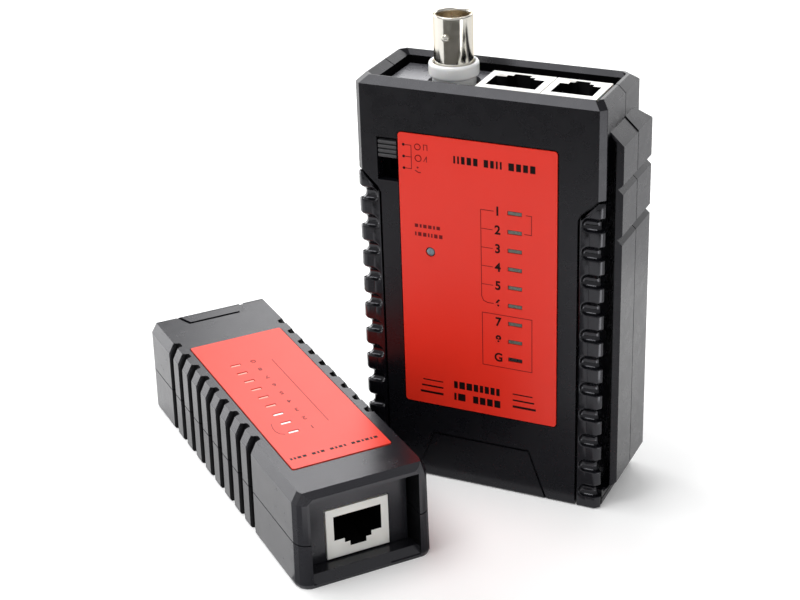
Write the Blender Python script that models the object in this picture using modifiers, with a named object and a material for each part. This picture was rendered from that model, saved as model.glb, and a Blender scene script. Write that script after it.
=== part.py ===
"""Two-piece network cable tester: an upright main unit and a remote unit lying on its back.

Sizes are in millimetres and are turned into metres as each mesh is made. The origin is the centre
of the main unit's base, the front face looks along -Y, and +Z is up. The remote unit is modelled
in its own frame (x across, y from its socket end to its far end, z up) under an empty that places it.
"""
import math

import bmesh
import bpy
from mathutils import Matrix, Vector

MM = 0.001
GAP = 0.3                                # running gap between neighbouring pieces

# Main unit: casing
HALF_W, HALF_D = 31.8, 13.25             # half width and half depth
SHOULDER_Z, RIM_Z = 105.5, 107.2         # where the rim chamfer starts, and the top of the rim
RIM_IN_X, RIM_IN_Y = 1.8, 2.2            # how far the rim chamfer leans in
CORNER = 1.5                             # chamfer on the four upright corners
WALL = 2.0
SEAM_Y = 1.05                            # plane where the two shells meet
SEAM_GAP = 0.15                          # each shell stops this far from the plane
FRONT_Y, REAR_Y = -HALF_D, HALF_D
CAVITY_X, CAVITY_Z0, CAVITY_Z1 = 28.9, 2.0, 102.2
GRIP_WALL_Y, GRIP_WALL_Z = -9.4, 86.0    # the front wall is thicker behind the grips, up to this height

# Main unit: opening in the rim, and the plate sunk in it
MOUTH_X0, MOUTH_X1 = -27.5, 29.2
MOUTH_Y0, MOUTH_Y1 = -10.85, 9.8
MOUTH_EDGE_Z = 105.9                     # below this the mouth's walls are upright, above it they lean out
RIM_LAND = 0.25                          # width of the ridge left between the two slopes of the rim
PLATE_TOP_Z = 104.0
FLANGE_Z0, FLANGE_Z1, FLANGE_OUT = 100.2, 101.9, 0.9

# Main unit: rail on the right side, and the channel in front of it
RAIL_X, RAIL_Y0, RAIL_Y1 = 35.15, -9.5, 11.95
RAIL_TOP_IN, RAIL_TOP_OUT = 99.4, 96.2
RAIL_LOW_IN, RAIL_LOW_OUT = 3.4, 6.9
RAIL_STEP = 0.35                         # the rear shell's slope stands this much above the front's
RAIL_BACK_Y, RAIL_BACK_DROP = 8.1, 0.88  # where the slope turns down towards the back, and how steeply
RAIL_GROOVES = (85.5, 72.7)              # heights of the two V grooves
RAIL_GROOVE_HALF, RAIL_GROOVE_DEEP = 1.2, 1.3
CHANNEL_X0, CHANNEL_X1 = 30.2, 33.35
CHANNEL_Y0, CHANNEL_Y1 = -10.95, -1.0
CHANNEL_Z0, CHANNEL_TOP_L = 4.5, 83.6
CHANNEL_ROOF = 0.9                       # height left above the right channel, under the rail's slope
FOOT_LINE_Z = 2.0                        # thin groove round the foot of the right side

# Main unit: soft grip inserts in the front corners
GRIP_X, GRIP_BACK_Y = 25.8, -11.2
GRIP_TOP_IN, GRIP_TOP_OUT = 78.0, 82.9
NOTCH_COUNT, NOTCH_PITCH, NOTCH_TOP = 11, 7.22, 75.4   # the last is the lip of the top notch
NOTCH_DEEP = 1.3

# Main unit: faceplate, lights, switch
LABEL_HALF_W, LABEL_Z0, LABEL_Z1, LABEL_R = 20.35, 21.6, 94.4, 0.8
LABEL_Y0, LABEL_Y1 = -13.45, -12.95      # its face and its back
POCKET_Y = -12.7                         # bottom of the pocket that it lies in
ROW_COUNT, ROW_TOP_Z, ROW_PITCH, ROW_X = 9, 77.4, 4.895, 9.65
ROW_HALF_W, ROW_HALF_H = 1.7, 0.42
POWER_X, POWER_Z, POWER_R = -12.5, 64.1, 1.1
WINDOW_X0, WINDOW_X1, WINDOW_Z0, WINDOW_Z1 = -26.1, -20.5, 81.4, 92.5
KNOB_X0, KNOB_X1, KNOB_Z0, KNOB_Z1 = -25.8, -20.9, 87.2, 91.9
PANEL_TOP_Z, PANEL_TOP_HALF, PANEL_LOW_HALF = 13.3, 13.2, 18.4
PANEL_LINE, PANEL_DEEP = 0.55, 0.55      # width and depth of the groove round the lower panel
R_PANEL_LINE, R_PANEL_DEEP = 1.0, 0.9    # the same on the remote's far end

# Main unit: connectors
BNC_X, BNC_Y = -10.95, -0.3
BNC_TOP, BNC_R, BNC_BORE = 121.0, 4.8, 4.05
BNC_LUG_Z, BNC_LUG_R, BNC_LUG_OUT = 116.1, 1.0, 5.5
BNC_RING_R, BNC_RING_TOP = 6.15, 109.3
JACK_Z0, JACK_Z1 = 90.8, 107.2
JACK_Y0, JACK_Y1 = -10.7, 1.5
WIDE_X0, WIDE_X1 = -1.25, 14.7
NARROW_X0, NARROW_X1 = 15.0, 28.6
# Steps of a socket's mouth: half width, near edge and far edge, from the contact side
MOUTH_8_WAY = ((6.2, 0.0, 6.6), (3.5, 6.5, 7.8), (2.1, 7.7, 9.1))
MOUTH_6_WAY = ((5.1, 0.0, 6.6), (3.0, 6.5, 7.8), (1.8, 7.7, 9.1))

# Main unit: inside and back
BOARD_Z0, BOARD_Z1 = 88.9, 90.5          # connector board
DISPLAY_Y0, DISPLAY_Y1 = -9.1, -7.5      # display board
DISPLAY_HALF_W, DISPLAY_Z0 = 23.0, 33.0
SCREW_X, SCREW_ZS = 26.8, (36.0, 74.0)
BOSS_R, BOSS_BORE, SCREW_R, SCREW_HEAD_R = 3.1, 1.5, 1.2, 2.2
DOOR_HALF_W, DOOR_Z1 = 25.2, 30.2
HINGE_Y, HINGE_Z, HINGE_R = 12.2, 5.3, 0.45
DOOR_HALF_T = 1.0
BATTERY_X0, BATTERY_X1 = -24.0, 22.4
BATTERY_Y0, BATTERY_Y1, BATTERY_Z0, BATTERY_Z1 = -6.6, 10.9, 3.4, 29.9
TERMINAL_X1 = 24.5

# Remote unit
REMOTE_PLACE = (-10.0, -59.75, 0.0)
REMOTE_YAW = math.radians(50.3)
R_LEN, R_TOP, R_PART = 105.0, 25.7, 12.0
R_TOP_HALF, R_CHAMFER_HALF, R_PART_HALF, R_LOW_HALF = 15.8, 17.3, 17.45, 17.65
R_CHAMFER_Z, R_LOW_Z, R_BASE_HALF = 22.9, 0.5, 17.3
R_CAVITY_X, R_CAVITY_Z0, R_CAVITY_Z1, R_CAVITY_Y1 = 14.1, 1.4, 23.3, 102.8
R_GROOVE_COUNT, R_GROOVE_Y0, R_GROOVE_PITCH = 9, 30.4, 7.13
R_PANEL_Y0, R_PANEL_Y1, R_PANEL_X, R_PANEL_Z0, R_PANEL_Z1 = 5.5, 7.1, 13.2, 1.9, 22.7
R_SILL_Z, R_SILL_Y, R_SILL_EDGE = 2.6, 5.2, 0.7     # sill below the panel: top, back, foot of its slope
R_LABEL_HALF, R_LABEL_Y0, R_LABEL_Y1 = 12.93, 12.2, 83.7
R_JACK_HALF, R_JACK_Y1, R_JACK_Z0, R_JACK_Z1 = 8.15, 20.6, 3.05, 16.55
R_ROW_X, R_ROW_Y0, R_ROW_PITCH = -5.75, 28.9, 4.94
R_ROW_HALF_W, R_ROW_HALF_H = 1.25, 0.40
R_BOARD_Z0, R_BOARD_Z1 = 16.9, 18.5
R_SCREW_X, R_SCREW_Y = 11.6, 97.0


def new_collection(name):
    made = bpy.data.collections.new(name)
    bpy.context.scene.collection.children.link(made)
    return made


def clear_scene():
    for old in list(bpy.data.objects):
        bpy.data.objects.remove(old, do_unlink=True)


def make_material(name, colour, roughness, metallic=0.0):
    made = bpy.data.materials.new(name)
    made.use_nodes = True
    shader = made.node_tree.nodes["Principled BSDF"]
    shader.inputs["Base Color"].default_value = (*colour, 1.0)
    shader.inputs["Roughness"].default_value = roughness
    shader.inputs["Metallic"].default_value = metallic
    return made


clear_scene()
PARTS = new_collection("network_cable_tester")
CUTTERS = new_collection("cutters")
REMOTE = bpy.data.objects.new("remote_frame", None)
REMOTE.location = [value * MM for value in REMOTE_PLACE]
REMOTE.rotation_euler = (0.0, 0.0, REMOTE_YAW)
PARTS.objects.link(REMOTE)


# ---------------------------------------------------------------- shape helpers

def to_object(name, mesh, material=None, parent=None):
    """A part where a material is given, and otherwise a cutter."""
    made = bpy.data.objects.new(name, mesh)
    if material is None:
        CUTTERS.objects.link(made)
        made.hide_render = True
        made.display_type = 'WIRE'
    else:
        PARTS.objects.link(made)
        material_slot = make_material(name, *material)
        mesh.materials.clear()
        mesh.materials.append(material_slot)
    made.parent = parent
    return made


def from_bmesh(name, shape, material=None, parent=None):
    bmesh.ops.recalc_face_normals(shape, faces=shape.faces)
    mesh = bpy.data.meshes.new(name)
    shape.to_mesh(mesh)
    shape.free()
    return to_object(name, mesh, material, parent)


def box(name, low, high, material=None, parent=None, bevel=0.0, segments=1):
    shape = bmesh.new()
    bmesh.ops.create_cube(shape, size=1.0)
    size = [(b - a) * MM for a, b in zip(low, high)]
    centre = [(a + b) / 2 * MM for a, b in zip(low, high)]
    bmesh.ops.scale(shape, vec=size, verts=shape.verts)
    bmesh.ops.translate(shape, vec=centre, verts=shape.verts)
    if bevel:
        bmesh.ops.bevel(shape, geom=shape.edges[:], offset=bevel * MM, segments=segments,
                        affect='EDGES', profile=0.5)
    return from_bmesh(name, shape, material, parent)


AXIS_TURN = {
    'Z': Matrix.Identity(4),
    'Y': Matrix(((1, 0, 0, 0), (0, 0, -1, 0), (0, 1, 0, 0), (0, 0, 0, 1))),
    'X': Matrix(((0, 0, 1, 0), (1, 0, 0, 0), (0, 1, 0, 0), (0, 0, 0, 1))),
}


def outline(name, points, axis, low, high, material=None, parent=None):
    """A flat outline given thickness along an axis, from low to high.

    Its points are (x, y) for axis Z, (x, z) for axis Y and (y, z) for axis X.
    """
    curve = bpy.data.curves.new(name, 'CURVE')
    curve.dimensions = '2D'
    curve.fill_mode = 'BOTH'
    curve.extrude = (high - low) / 2 * MM
    spline = curve.splines.new('POLY')
    spline.points.add(len(points) - 1)
    for spot, (u, v) in zip(spline.points, points):
        spot.co = (u * MM, v * MM, 0.0, 1.0)
    spline.use_cyclic_u = True
    flat = bpy.data.objects.new(name, curve)
    CUTTERS.objects.link(flat)
    middle = (low + high) / 2 * MM
    offset = {'X': (middle, 0, 0), 'Y': (0, middle, 0), 'Z': (0, 0, middle)}[axis]
    flat.matrix_world = Matrix.Translation(offset) @ AXIS_TURN[axis]
    bpy.context.view_layer.update()
    seen = flat.evaluated_get(bpy.context.evaluated_depsgraph_get())
    mesh = bpy.data.meshes.new_from_object(seen)
    place = flat.matrix_world.copy()
    bpy.data.objects.remove(flat)
    shape = bmesh.new()
    shape.from_mesh(mesh)
    bmesh.ops.remove_doubles(shape, verts=shape.verts, dist=0.001 * MM)
    bmesh.ops.recalc_face_normals(shape, faces=shape.faces)
    shape.to_mesh(mesh)
    shape.free()
    made = to_object(name, mesh, material, parent)
    made.matrix_basis = place
    return made


def cylinder(name, radius, low, high, axis, centre, material=None, parent=None, sides=24):
    """A round bar along an axis, from low to high, centred on the other two coordinates."""
    shape = bmesh.new()
    bmesh.ops.create_cone(shape, cap_ends=True, segments=sides, radius1=radius * MM,
                          radius2=radius * MM, depth=(high - low) * MM)
    made = from_bmesh(name, shape, material, parent)
    middle = (low + high) / 2
    u, v = centre
    place = {'X': (middle, u, v), 'Y': (u, middle, v), 'Z': (u, v, middle)}[axis]
    made.matrix_basis = Matrix.Translation(Vector(place) * MM) @ AXIS_TURN[axis]
    return made


def turned(name, profile, centre, material=None, hollow=False, steps=32):
    """A turned shape. Its profile runs down the outside, and back up the inside where it's hollow."""
    mesh = bpy.data.meshes.new(name)
    spots = [(r * MM, 0.0, z * MM) for r, z in profile]
    edges = [(i, i + 1) for i in range(len(spots) - 1)]
    if hollow:
        edges.append((len(spots) - 1, 0))
    mesh.from_pydata(spots, edges, [])
    made = to_object(name, mesh, material)
    made.location = (centre[0] * MM, centre[1] * MM, 0.0)
    screw = made.modifiers.new("turn", 'SCREW')
    screw.axis = 'Z'
    screw.steps = steps
    screw.render_steps = steps
    screw.use_merge_vertices = True
    screw.merge_threshold = 0.00001
    screw.use_smooth_shade = True
    return made


def loft(name, rings, material=None, parent=None):
    """A solid through rings of equal length, each a list of (x, y, z)."""
    shape = bmesh.new()
    loops = [[shape.verts.new(Vector(spot) * MM) for spot in ring] for ring in rings]
    for lower, upper in zip(loops, loops[1:]):
        for i in range(len(lower)):
            j = (i + 1) % len(lower)
            shape.faces.new((lower[i], lower[j], upper[j], upper[i]))
    shape.faces.new(loops[0][::-1])
    shape.faces.new(loops[-1])
    return from_bmesh(name, shape, material, parent)


def boolean(target, tool, operation):
    step = target.modifiers.new(tool.name, 'BOOLEAN')
    step.operation = operation
    step.solver = 'EXACT'
    step.object = tool


def cut(target, *tools):
    for tool in tools:
        boolean(target, tool, 'DIFFERENCE')


def fuse(target, *tools):
    for tool in tools:
        boolean(target, tool, 'UNION')


def arc(centre_u, centre_v, radius, start, end, count):
    """Points on an arc from start to end degrees."""
    points = []
    for i in range(count + 1):
        angle = math.radians(start + (end - start) * i / count)
        points.append((centre_u + radius * math.cos(angle), centre_v + radius * math.sin(angle)))
    return points


def rounded_rectangle(u0, u1, v0, v1, radius, count=4):
    return (arc(u1 - radius, v0 + radius, radius, -90, 0, count)
            + arc(u1 - radius, v1 - radius, radius, 0, 90, count)
            + arc(u0 + radius, v1 - radius, radius, 90, 180, count)
            + arc(u0 + radius, v0 + radius, radius, 180, 270, count))


def set_origin(part, spot):
    """Moves a part's origin to a spot without moving its mesh in space."""
    shift = Vector(spot) * MM - part.location
    part.data.transform(Matrix.Translation(-shift))
    part.location = part.location + shift


BLACK = ((0.020, 0.020, 0.024), 0.48)
SOFT_BLACK = ((0.022, 0.022, 0.025), 0.62)
RED = ((0.62, 0.035, 0.022), 0.42)
IVORY = ((0.80, 0.77, 0.70), 0.45)
WHITE = ((0.85, 0.84, 0.80), 0.40)
NICKEL = ((0.62, 0.60, 0.56), 0.24, 1.0)
GOLD = ((0.80, 0.58, 0.24), 0.28, 1.0)
STEEL = ((0.45, 0.45, 0.46), 0.35, 1.0)
BOARD_GREEN = ((0.02, 0.16, 0.07), 0.5)
CHIP = ((0.015, 0.015, 0.017), 0.55)
LENS = ((0.55, 0.50, 0.46), 0.25)


# ---------------------------------------------------------------- main unit: the two shells

def casing_outline(inset_x, inset_y):
    """Plan of the casing: a rectangle with chamfered corners, counter-clockwise."""
    x, y = HALF_W - inset_x, HALF_D - inset_y
    return [(x, -y + CORNER), (x, y - CORNER), (x - CORNER, y), (-x + CORNER, y),
            (-x, y - CORNER), (-x, -y + CORNER), (-x + CORNER, -y), (x - CORNER, -y)]


def casing(name, material):
    rings = []
    for z, inset_x, inset_y in ((0.0, 0.5, 0.5), (0.5, 0.0, 0.0), (SHOULDER_Z, 0.0, 0.0),
                                (RIM_Z, RIM_IN_X, RIM_IN_Y)):
        rings.append([(x, y, z) for x, y in casing_outline(inset_x, inset_y)])
    return loft(name, rings, material)


def rail(name, lift):
    """Raised rail on the right side, with a sloped top and foot, and a slope down at the back."""
    root_x = HALF_W - 1.0
    step = HALF_W - root_x
    profile = [(root_x, RAIL_LOW_IN - step), (RAIL_X, RAIL_LOW_OUT),
               (RAIL_X, RAIL_TOP_OUT + lift), (root_x, RAIL_TOP_IN + step + lift)]
    made = outline(name, profile, 'Y', RAIL_Y0, RAIL_Y1)
    near, far, above = RAIL_BACK_Y - 2.0, RAIL_Y1 + 2.0, RAIL_TOP_IN + 5.0
    slope = [(y, RAIL_TOP_IN - RAIL_BACK_DROP * (y - RAIL_BACK_Y)) for y in (near, far)]
    cut(made, outline(name + "_back_slope", slope + [(far, above), (near, above)], 'X',
                      root_x - 1.0, RAIL_X + 1.0))
    return made


def rail_groove(name, z):
    deep = RAIL_X - RAIL_GROOVE_DEEP
    out = RAIL_X + 1.0
    flare = RAIL_GROOVE_HALF * (out - deep) / RAIL_GROOVE_DEEP
    profile = [(deep, z), (out, z - flare), (out, z + flare)]
    return outline(name, profile, 'Y', RAIL_Y0 - 1.0, RAIL_Y1 + 1.0)


def shell_body(name, material, lift=0.0):
    body = casing(name, material)
    fuse(body, rail(name + "_rail", lift))
    for i, z in enumerate(RAIL_GROOVES):
        cut(body, rail_groove(f"{name}_rail_groove_{i + 1}", z))
    return body


def mouth(name):
    """Opening in the rim. Its left and rear walls lean out above the edge, up to the rim's ridge."""
    lean = RIM_Z - MOUTH_EDGE_Z
    out_x = (HALF_W - RIM_IN_X - RIM_LAND + MOUTH_X0) / lean
    out_y = (HALF_D - RIM_IN_Y - RIM_LAND - MOUTH_Y1) / lean
    front, corner, lean_corner = 0.3, 0.3, (CORNER - RIM_LAND) / lean
    rings = []
    for z in (CAVITY_Z1 - 0.5, MOUTH_EDGE_Z, RIM_Z + 1.0):
        up = max(0.0, z - MOUTH_EDGE_Z)
        x0, y1 = MOUTH_X0 - out_x * up, MOUTH_Y1 + out_y * up
        cut_off = corner + lean_corner * up
        rings.append([(x, y, z) for x, y in (
            (MOUTH_X1, MOUTH_Y0), (MOUTH_X1, y1 - cut_off), (MOUTH_X1 - cut_off, y1),
            (x0 + cut_off, y1), (x0, y1 - cut_off), (x0, MOUTH_Y0 + cut_off + front),
            (x0 + cut_off + front, MOUTH_Y0))])
    return loft(name, rings)


def cavity(body, name):
    inner_y = HALF_D - WALL
    cut(body, box(name + "_cavity_top", (-CAVITY_X, -inner_y, GRIP_WALL_Z),
                  (CAVITY_X, inner_y, CAVITY_Z1)))
    cut(body, box(name + "_cavity_low", (-CAVITY_X, GRIP_WALL_Y, CAVITY_Z0),
                  (CAVITY_X, inner_y, GRIP_WALL_Z + 0.1)))
    cut(body, mouth(name + "_mouth"))


def grip_pocket(name, side):
    """Corner pocket that a grip insert lies in, 0.45 mm larger round its inner edge."""
    edge = GRIP_X - 0.45
    pocket_top = [(side * edge, -1.0), (side * (HALF_W + 2.0), -1.0),
                  (side * (HALF_W + 2.0), GRIP_TOP_OUT + 0.45), (side * 30.2, GRIP_TOP_OUT + 0.45),
                  (side * (edge + 0.8), GRIP_TOP_IN + 1.5), (side * edge, GRIP_TOP_IN)]
    return outline(name, pocket_top, 'Y', FRONT_Y - 1.0, GRIP_BACK_Y + 0.3)


def panel_groove(name, top, top_half, low, low_half, near, far, axis):
    """A groove of constant width along three sides of a trapezoid, open at its wide side."""
    def trapezoid(inset):
        rise = (low_half - top_half) / (top - low)
        edge = inset * math.hypot(1.0, rise)
        return [(top_half - edge + rise * inset, top - inset), (low_half - edge, low)]

    outer, inner = trapezoid(0.0), trapezoid(PANEL_LINE)
    points = [(-outer[1][0], low), (-inner[1][0], low), (-inner[0][0], inner[0][1]),
              (inner[0][0], inner[0][1]), (inner[1][0], low), (outer[1][0], low),
              (outer[0][0], top), (-outer[0][0], top)]
    return outline(name, points, axis, near, far)


def make_front_shell():
    shell = shell_body("front_shell", BLACK)
    cut(shell, box("front_keep", (-40, SEAM_Y - SEAM_GAP, -5), (40, 40, 120)))
    cavity(shell, "front")
    inner_front = FRONT_Y + WALL
    cut(shell, box("front_cavity_middle", (-24.6, inner_front, CAVITY_Z0),
                   (24.6, GRIP_WALL_Y + 0.1, GRIP_WALL_Z + 0.1)))
    cut(shell, grip_pocket("grip_pocket_left", -1), grip_pocket("grip_pocket_right", 1))
    roof = RAIL_TOP_IN - CHANNEL_ROOF
    fall = (RAIL_TOP_IN - RAIL_TOP_OUT) / (RAIL_X - HALF_W)
    channel = [(CHANNEL_X0, CHANNEL_Z0), (CHANNEL_X1, CHANNEL_Z0),
               (CHANNEL_X1, roof - fall * (CHANNEL_X1 - HALF_W)), (HALF_W, roof), (CHANNEL_X0, roof)]
    cut(shell, outline("channel_right", channel, 'Y', CHANNEL_Y0, CHANNEL_Y1))
    cut(shell, box("channel_left", (-HALF_W - 2.0, CHANNEL_Y0, CHANNEL_Z0),
                   (-CHANNEL_X0, -4.0, CHANNEL_TOP_L)))
    cut(shell, box("foot_line", (HALF_W - 0.4, CHANNEL_Y0, FOOT_LINE_Z - 0.2),
                   (HALF_W + 1.0, 0.0, FOOT_LINE_Z + 0.2)))
    cut(shell, outline("label_pocket", rounded_rectangle(
        -LABEL_HALF_W - GAP, LABEL_HALF_W + GAP, LABEL_Z0 - GAP, LABEL_Z1 + GAP,
        LABEL_R + GAP), 'Y', FRONT_Y - 1.0, POCKET_Y))
    cut(shell, box("switch_window", (WINDOW_X0, FRONT_Y - 1.0, WINDOW_Z0),
                   (WINDOW_X1, GRIP_WALL_Y + 1.0, WINDOW_Z1)))
    for i in range(ROW_COUNT):
        z = ROW_TOP_Z - ROW_PITCH * i
        cut(shell, box(f"row_slot_{i + 1}", (ROW_X - ROW_HALF_W - GAP, -14, z - ROW_HALF_H - GAP),
                       (ROW_X + ROW_HALF_W + GAP, GRIP_WALL_Y, z + ROW_HALF_H + GAP)))
    cut(shell, cylinder("power_hole", POWER_R + GAP, -14, GRIP_WALL_Y, 'Y', (POWER_X, POWER_Z)))
    cut(shell, panel_groove("front_panel_groove", PANEL_TOP_Z, PANEL_TOP_HALF, -1.0,
                            PANEL_LOW_HALF, FRONT_Y - 1.0, FRONT_Y + PANEL_DEEP, 'Y'))
    for i, (side, z) in enumerate((s, z) for z in SCREW_ZS for s in (-1, 1)):
        centre = (side * SCREW_X, z)
        fuse(shell, cylinder(f"front_boss_{i + 1}", BOSS_R, GRIP_WALL_Y - 0.5,
                             SEAM_Y - 0.4, 'Y', centre))
        cut(shell, cylinder(f"front_boss_bore_{i + 1}", BOSS_BORE, -7.0, SEAM_Y + 1.0, 'Y', centre))
    return shell


def make_rear_shell():
    shell = shell_body("rear_shell", BLACK, RAIL_STEP)
    cut(shell, box("rear_keep", (-40, -40, -5), (40, SEAM_Y + SEAM_GAP, 130)))
    cavity(shell, "rear")
    inner_rear = REAR_Y - WALL
    fuse(shell, box("battery_shelf", (-CAVITY_X - 0.5, 3.0, 31.0),
                    (CAVITY_X + 0.5, inner_rear + 0.5, 32.2)))
    cut(shell, box("door_opening", (-DOOR_HALF_W - GAP, inner_rear - 1.0, HINGE_Z - 1.3),
                   (DOOR_HALF_W + GAP, REAR_Y + 1.0, DOOR_Z1 + GAP)))
    cut(shell, cylinder("door_pin_bores", HINGE_R + GAP, -DOOR_HALF_W - 1.9, DOOR_HALF_W + 1.9,
                        'X', (HINGE_Y, HINGE_Z), sides=16))
    cut(shell, outline("door_finger_scoop", arc(0.0, DOOR_Z1, 5.0, 0, 180, 12), 'Y',
                       REAR_Y - 1.1, REAR_Y + 1.0))
    for i, (side, z) in enumerate((s, z) for z in SCREW_ZS for s in (-1, 1)):
        centre = (side * SCREW_X, z)
        fuse(shell, cylinder(f"rear_boss_{i + 1}", BOSS_R, SEAM_Y + 0.4, inner_rear + 0.5,
                             'Y', centre))
        cut(shell, cylinder(f"rear_boss_bore_{i + 1}", BOSS_BORE, SEAM_Y - 1.0, REAR_Y, 'Y', centre))
        cut(shell, cylinder(f"rear_head_bore_{i + 1}", SCREW_HEAD_R + GAP, REAR_Y - 1.7,
                            REAR_Y + 1.0, 'Y', centre))
    return shell


# ---------------------------------------------------------------- main unit: outside pieces

def grip_section(depth, inner_x, side):
    """Plan of what lies outside a grip cut back by a depth, from an inner x outwards."""
    out_x, out_y = HALF_W + 1.5, FRONT_Y - 1.5
    face_y, side_x = FRONT_Y + depth, HALF_W - depth
    corner = CORNER - 0.4 * max(depth, 0.0)
    points = [(inner_x, out_y), (out_x, out_y), (out_x, GRIP_BACK_Y + 1.0),
              (side_x, GRIP_BACK_Y + 1.0), (side_x, face_y + corner),
              (side_x - corner, face_y), (inner_x, face_y)]
    return [(side * x, y) for x, y in points]


def make_grip(name, side):
    """A soft insert with eleven scooped notches: a bowl with its lip below and a sloped roof above."""
    plan = [(GRIP_X, FRONT_Y), (HALF_W - CORNER, FRONT_Y), (HALF_W, FRONT_Y + CORNER),
            (HALF_W, GRIP_BACK_Y), (GRIP_X, GRIP_BACK_Y)]
    grip = outline(name, [(side * x, y) for x, y in plan], 'Z', 0.0,
                   GRIP_TOP_OUT, SOFT_BLACK)
    wedge = [(GRIP_X - 1.0, GRIP_TOP_IN - 1.5), (GRIP_X, GRIP_TOP_IN - 0.6),
             (GRIP_X + 0.6, GRIP_TOP_IN + 1.0), (30.2, GRIP_TOP_OUT),
             (30.2, GRIP_TOP_OUT + 2.0), (GRIP_X - 1.0, GRIP_TOP_OUT + 2.0)]
    cut(grip, outline(name + "_top_slope", [(side * x, z) for x, z in wedge], 'Y',
                      FRONT_Y - 1.0, GRIP_BACK_Y + 1.0))
    stations = ((0.0, -0.05, 28.6), (0.25, 0.5, 27.5), (0.65, 0.98, 26.8), (1.15, NOTCH_DEEP, 26.4),
                (2.1, NOTCH_DEEP, 26.4), (2.7, 0.95, 26.8), (3.2, 0.5, 27.6), (3.65, -0.05, 28.8))
    for i in range(NOTCH_COUNT):
        lip_z = NOTCH_TOP - NOTCH_PITCH * i
        rings = []
        for height, depth, inner_x in stations:
            rings.append([(x, y, lip_z + height) for x, y in grip_section(depth, inner_x, side)])
        cut(grip, loft(f"{name}_notch_{i + 1}", rings))
    return grip


def make_label():
    label = outline("faceplate_label", rounded_rectangle(
        -LABEL_HALF_W, LABEL_HALF_W, LABEL_Z0, LABEL_Z1, LABEL_R), 'Y', LABEL_Y0, LABEL_Y1, RED)
    for i in range(ROW_COUNT):
        z = ROW_TOP_Z - ROW_PITCH * i
        cut(label, box(f"label_slot_{i + 1}", (ROW_X - ROW_HALF_W - 0.15, -15, z - ROW_HALF_H - 0.15),
                       (ROW_X + ROW_HALF_W + 0.15, -12, z + ROW_HALF_H + 0.15)))
    cut(label, cylinder("label_power_hole", POWER_R + 0.15, -15, -12, 'Y', (POWER_X, POWER_Z)))
    return label


def make_lights():
    for i in range(ROW_COUNT):
        z = ROW_TOP_Z - ROW_PITCH * i
        box(f"row_light_{i + 1}", (ROW_X - ROW_HALF_W, LABEL_Y0 + 0.15, z - ROW_HALF_H),
            (ROW_X + ROW_HALF_W, DISPLAY_Y0 - GAP, z + ROW_HALF_H), LENS)
    profile = [(0.0, -LABEL_Y0 + 0.25)]
    profile += [(POWER_R * math.sin(math.radians(a)), -LABEL_Y0 - 0.35 + 0.6 * math.cos(math.radians(a)))
                for a in (30, 60, 90)]
    profile += [(POWER_R, -DISPLAY_Y0 + GAP), (0.0, -DISPLAY_Y0 + GAP)]
    light = turned("power_light", profile, (POWER_X, 0.0), LENS, steps=20)
    light.rotation_euler = (math.radians(90), 0.0, 0.0)
    light.location = (POWER_X * MM, 0.0, POWER_Z * MM)


def make_switch():
    """The knob rides in the window and its stem reaches into the switch body's slot."""
    knob = box("switch_knob", (KNOB_X0, -12.9, KNOB_Z0), (KNOB_X1, -9.6, KNOB_Z1), SOFT_BLACK)
    fuse(knob, box("knob_stem", (-24.0, -9.8, 88.4), (-22.8, -8.0, 90.6)))
    for i in range(4):
        z = KNOB_Z0 + 0.75 + 1.07 * i
        ridge = [(-12.8, z - 0.34), (-12.8, z + 0.34), (-13.3, z + 0.14), (-13.3, z - 0.14)]
        fuse(knob, outline(f"knob_ridge_{i + 1}", ridge, 'X', KNOB_X0 + 0.25, KNOB_X1 - 0.25))
    set_origin(knob, ((KNOB_X0 + KNOB_X1) / 2, -12.0, (KNOB_Z0 + KNOB_Z1) / 2))
    body = box("switch_body", (-27.6, -9.1, 79.8), (-20.4, -6.0, 94.2), STEEL)
    cut(body, box("switch_body_slot", (-24.5, -10.0, 82.7), (-22.3, -7.2, 91.2)))


def jack(name, x0, x1, mouth, material):
    """An upright modular socket: its mouth is up, and the latch steps face the back."""
    middle, front = (x0 + x1) / 2, JACK_Y0 + 2.1
    body = box(name, (x0, JACK_Y0, JACK_Z0), (x1, JACK_Y1, JACK_Z1), material)
    for i, (half, near, far) in enumerate(mouth):
        cut(body, box(f"{name}_mouth_{i + 1}", (middle - half, front + near, JACK_Z0 + 3.4),
                      (middle + half, front + far, JACK_Z1 + 1.0)))


def comb(name, count, pitch, middle, back_y, tip_y, z0, z1, material, parent=None):
    """Contact comb: a bar with one tooth for each contact."""
    half, bar_y = pitch * 0.27, back_y + 0.4
    left, right = middle - pitch * count / 2, middle + pitch * count / 2
    points = [(left, back_y), (left, bar_y)]
    for i in range(count):
        x = middle + pitch * (i - (count - 1) / 2)
        points += [(x - half, bar_y), (x - half, tip_y), (x + half, tip_y), (x + half, bar_y)]
    points += [(right, bar_y), (right, back_y)]
    return outline(name, points, 'Z', z0, z1, material, parent)


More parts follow.
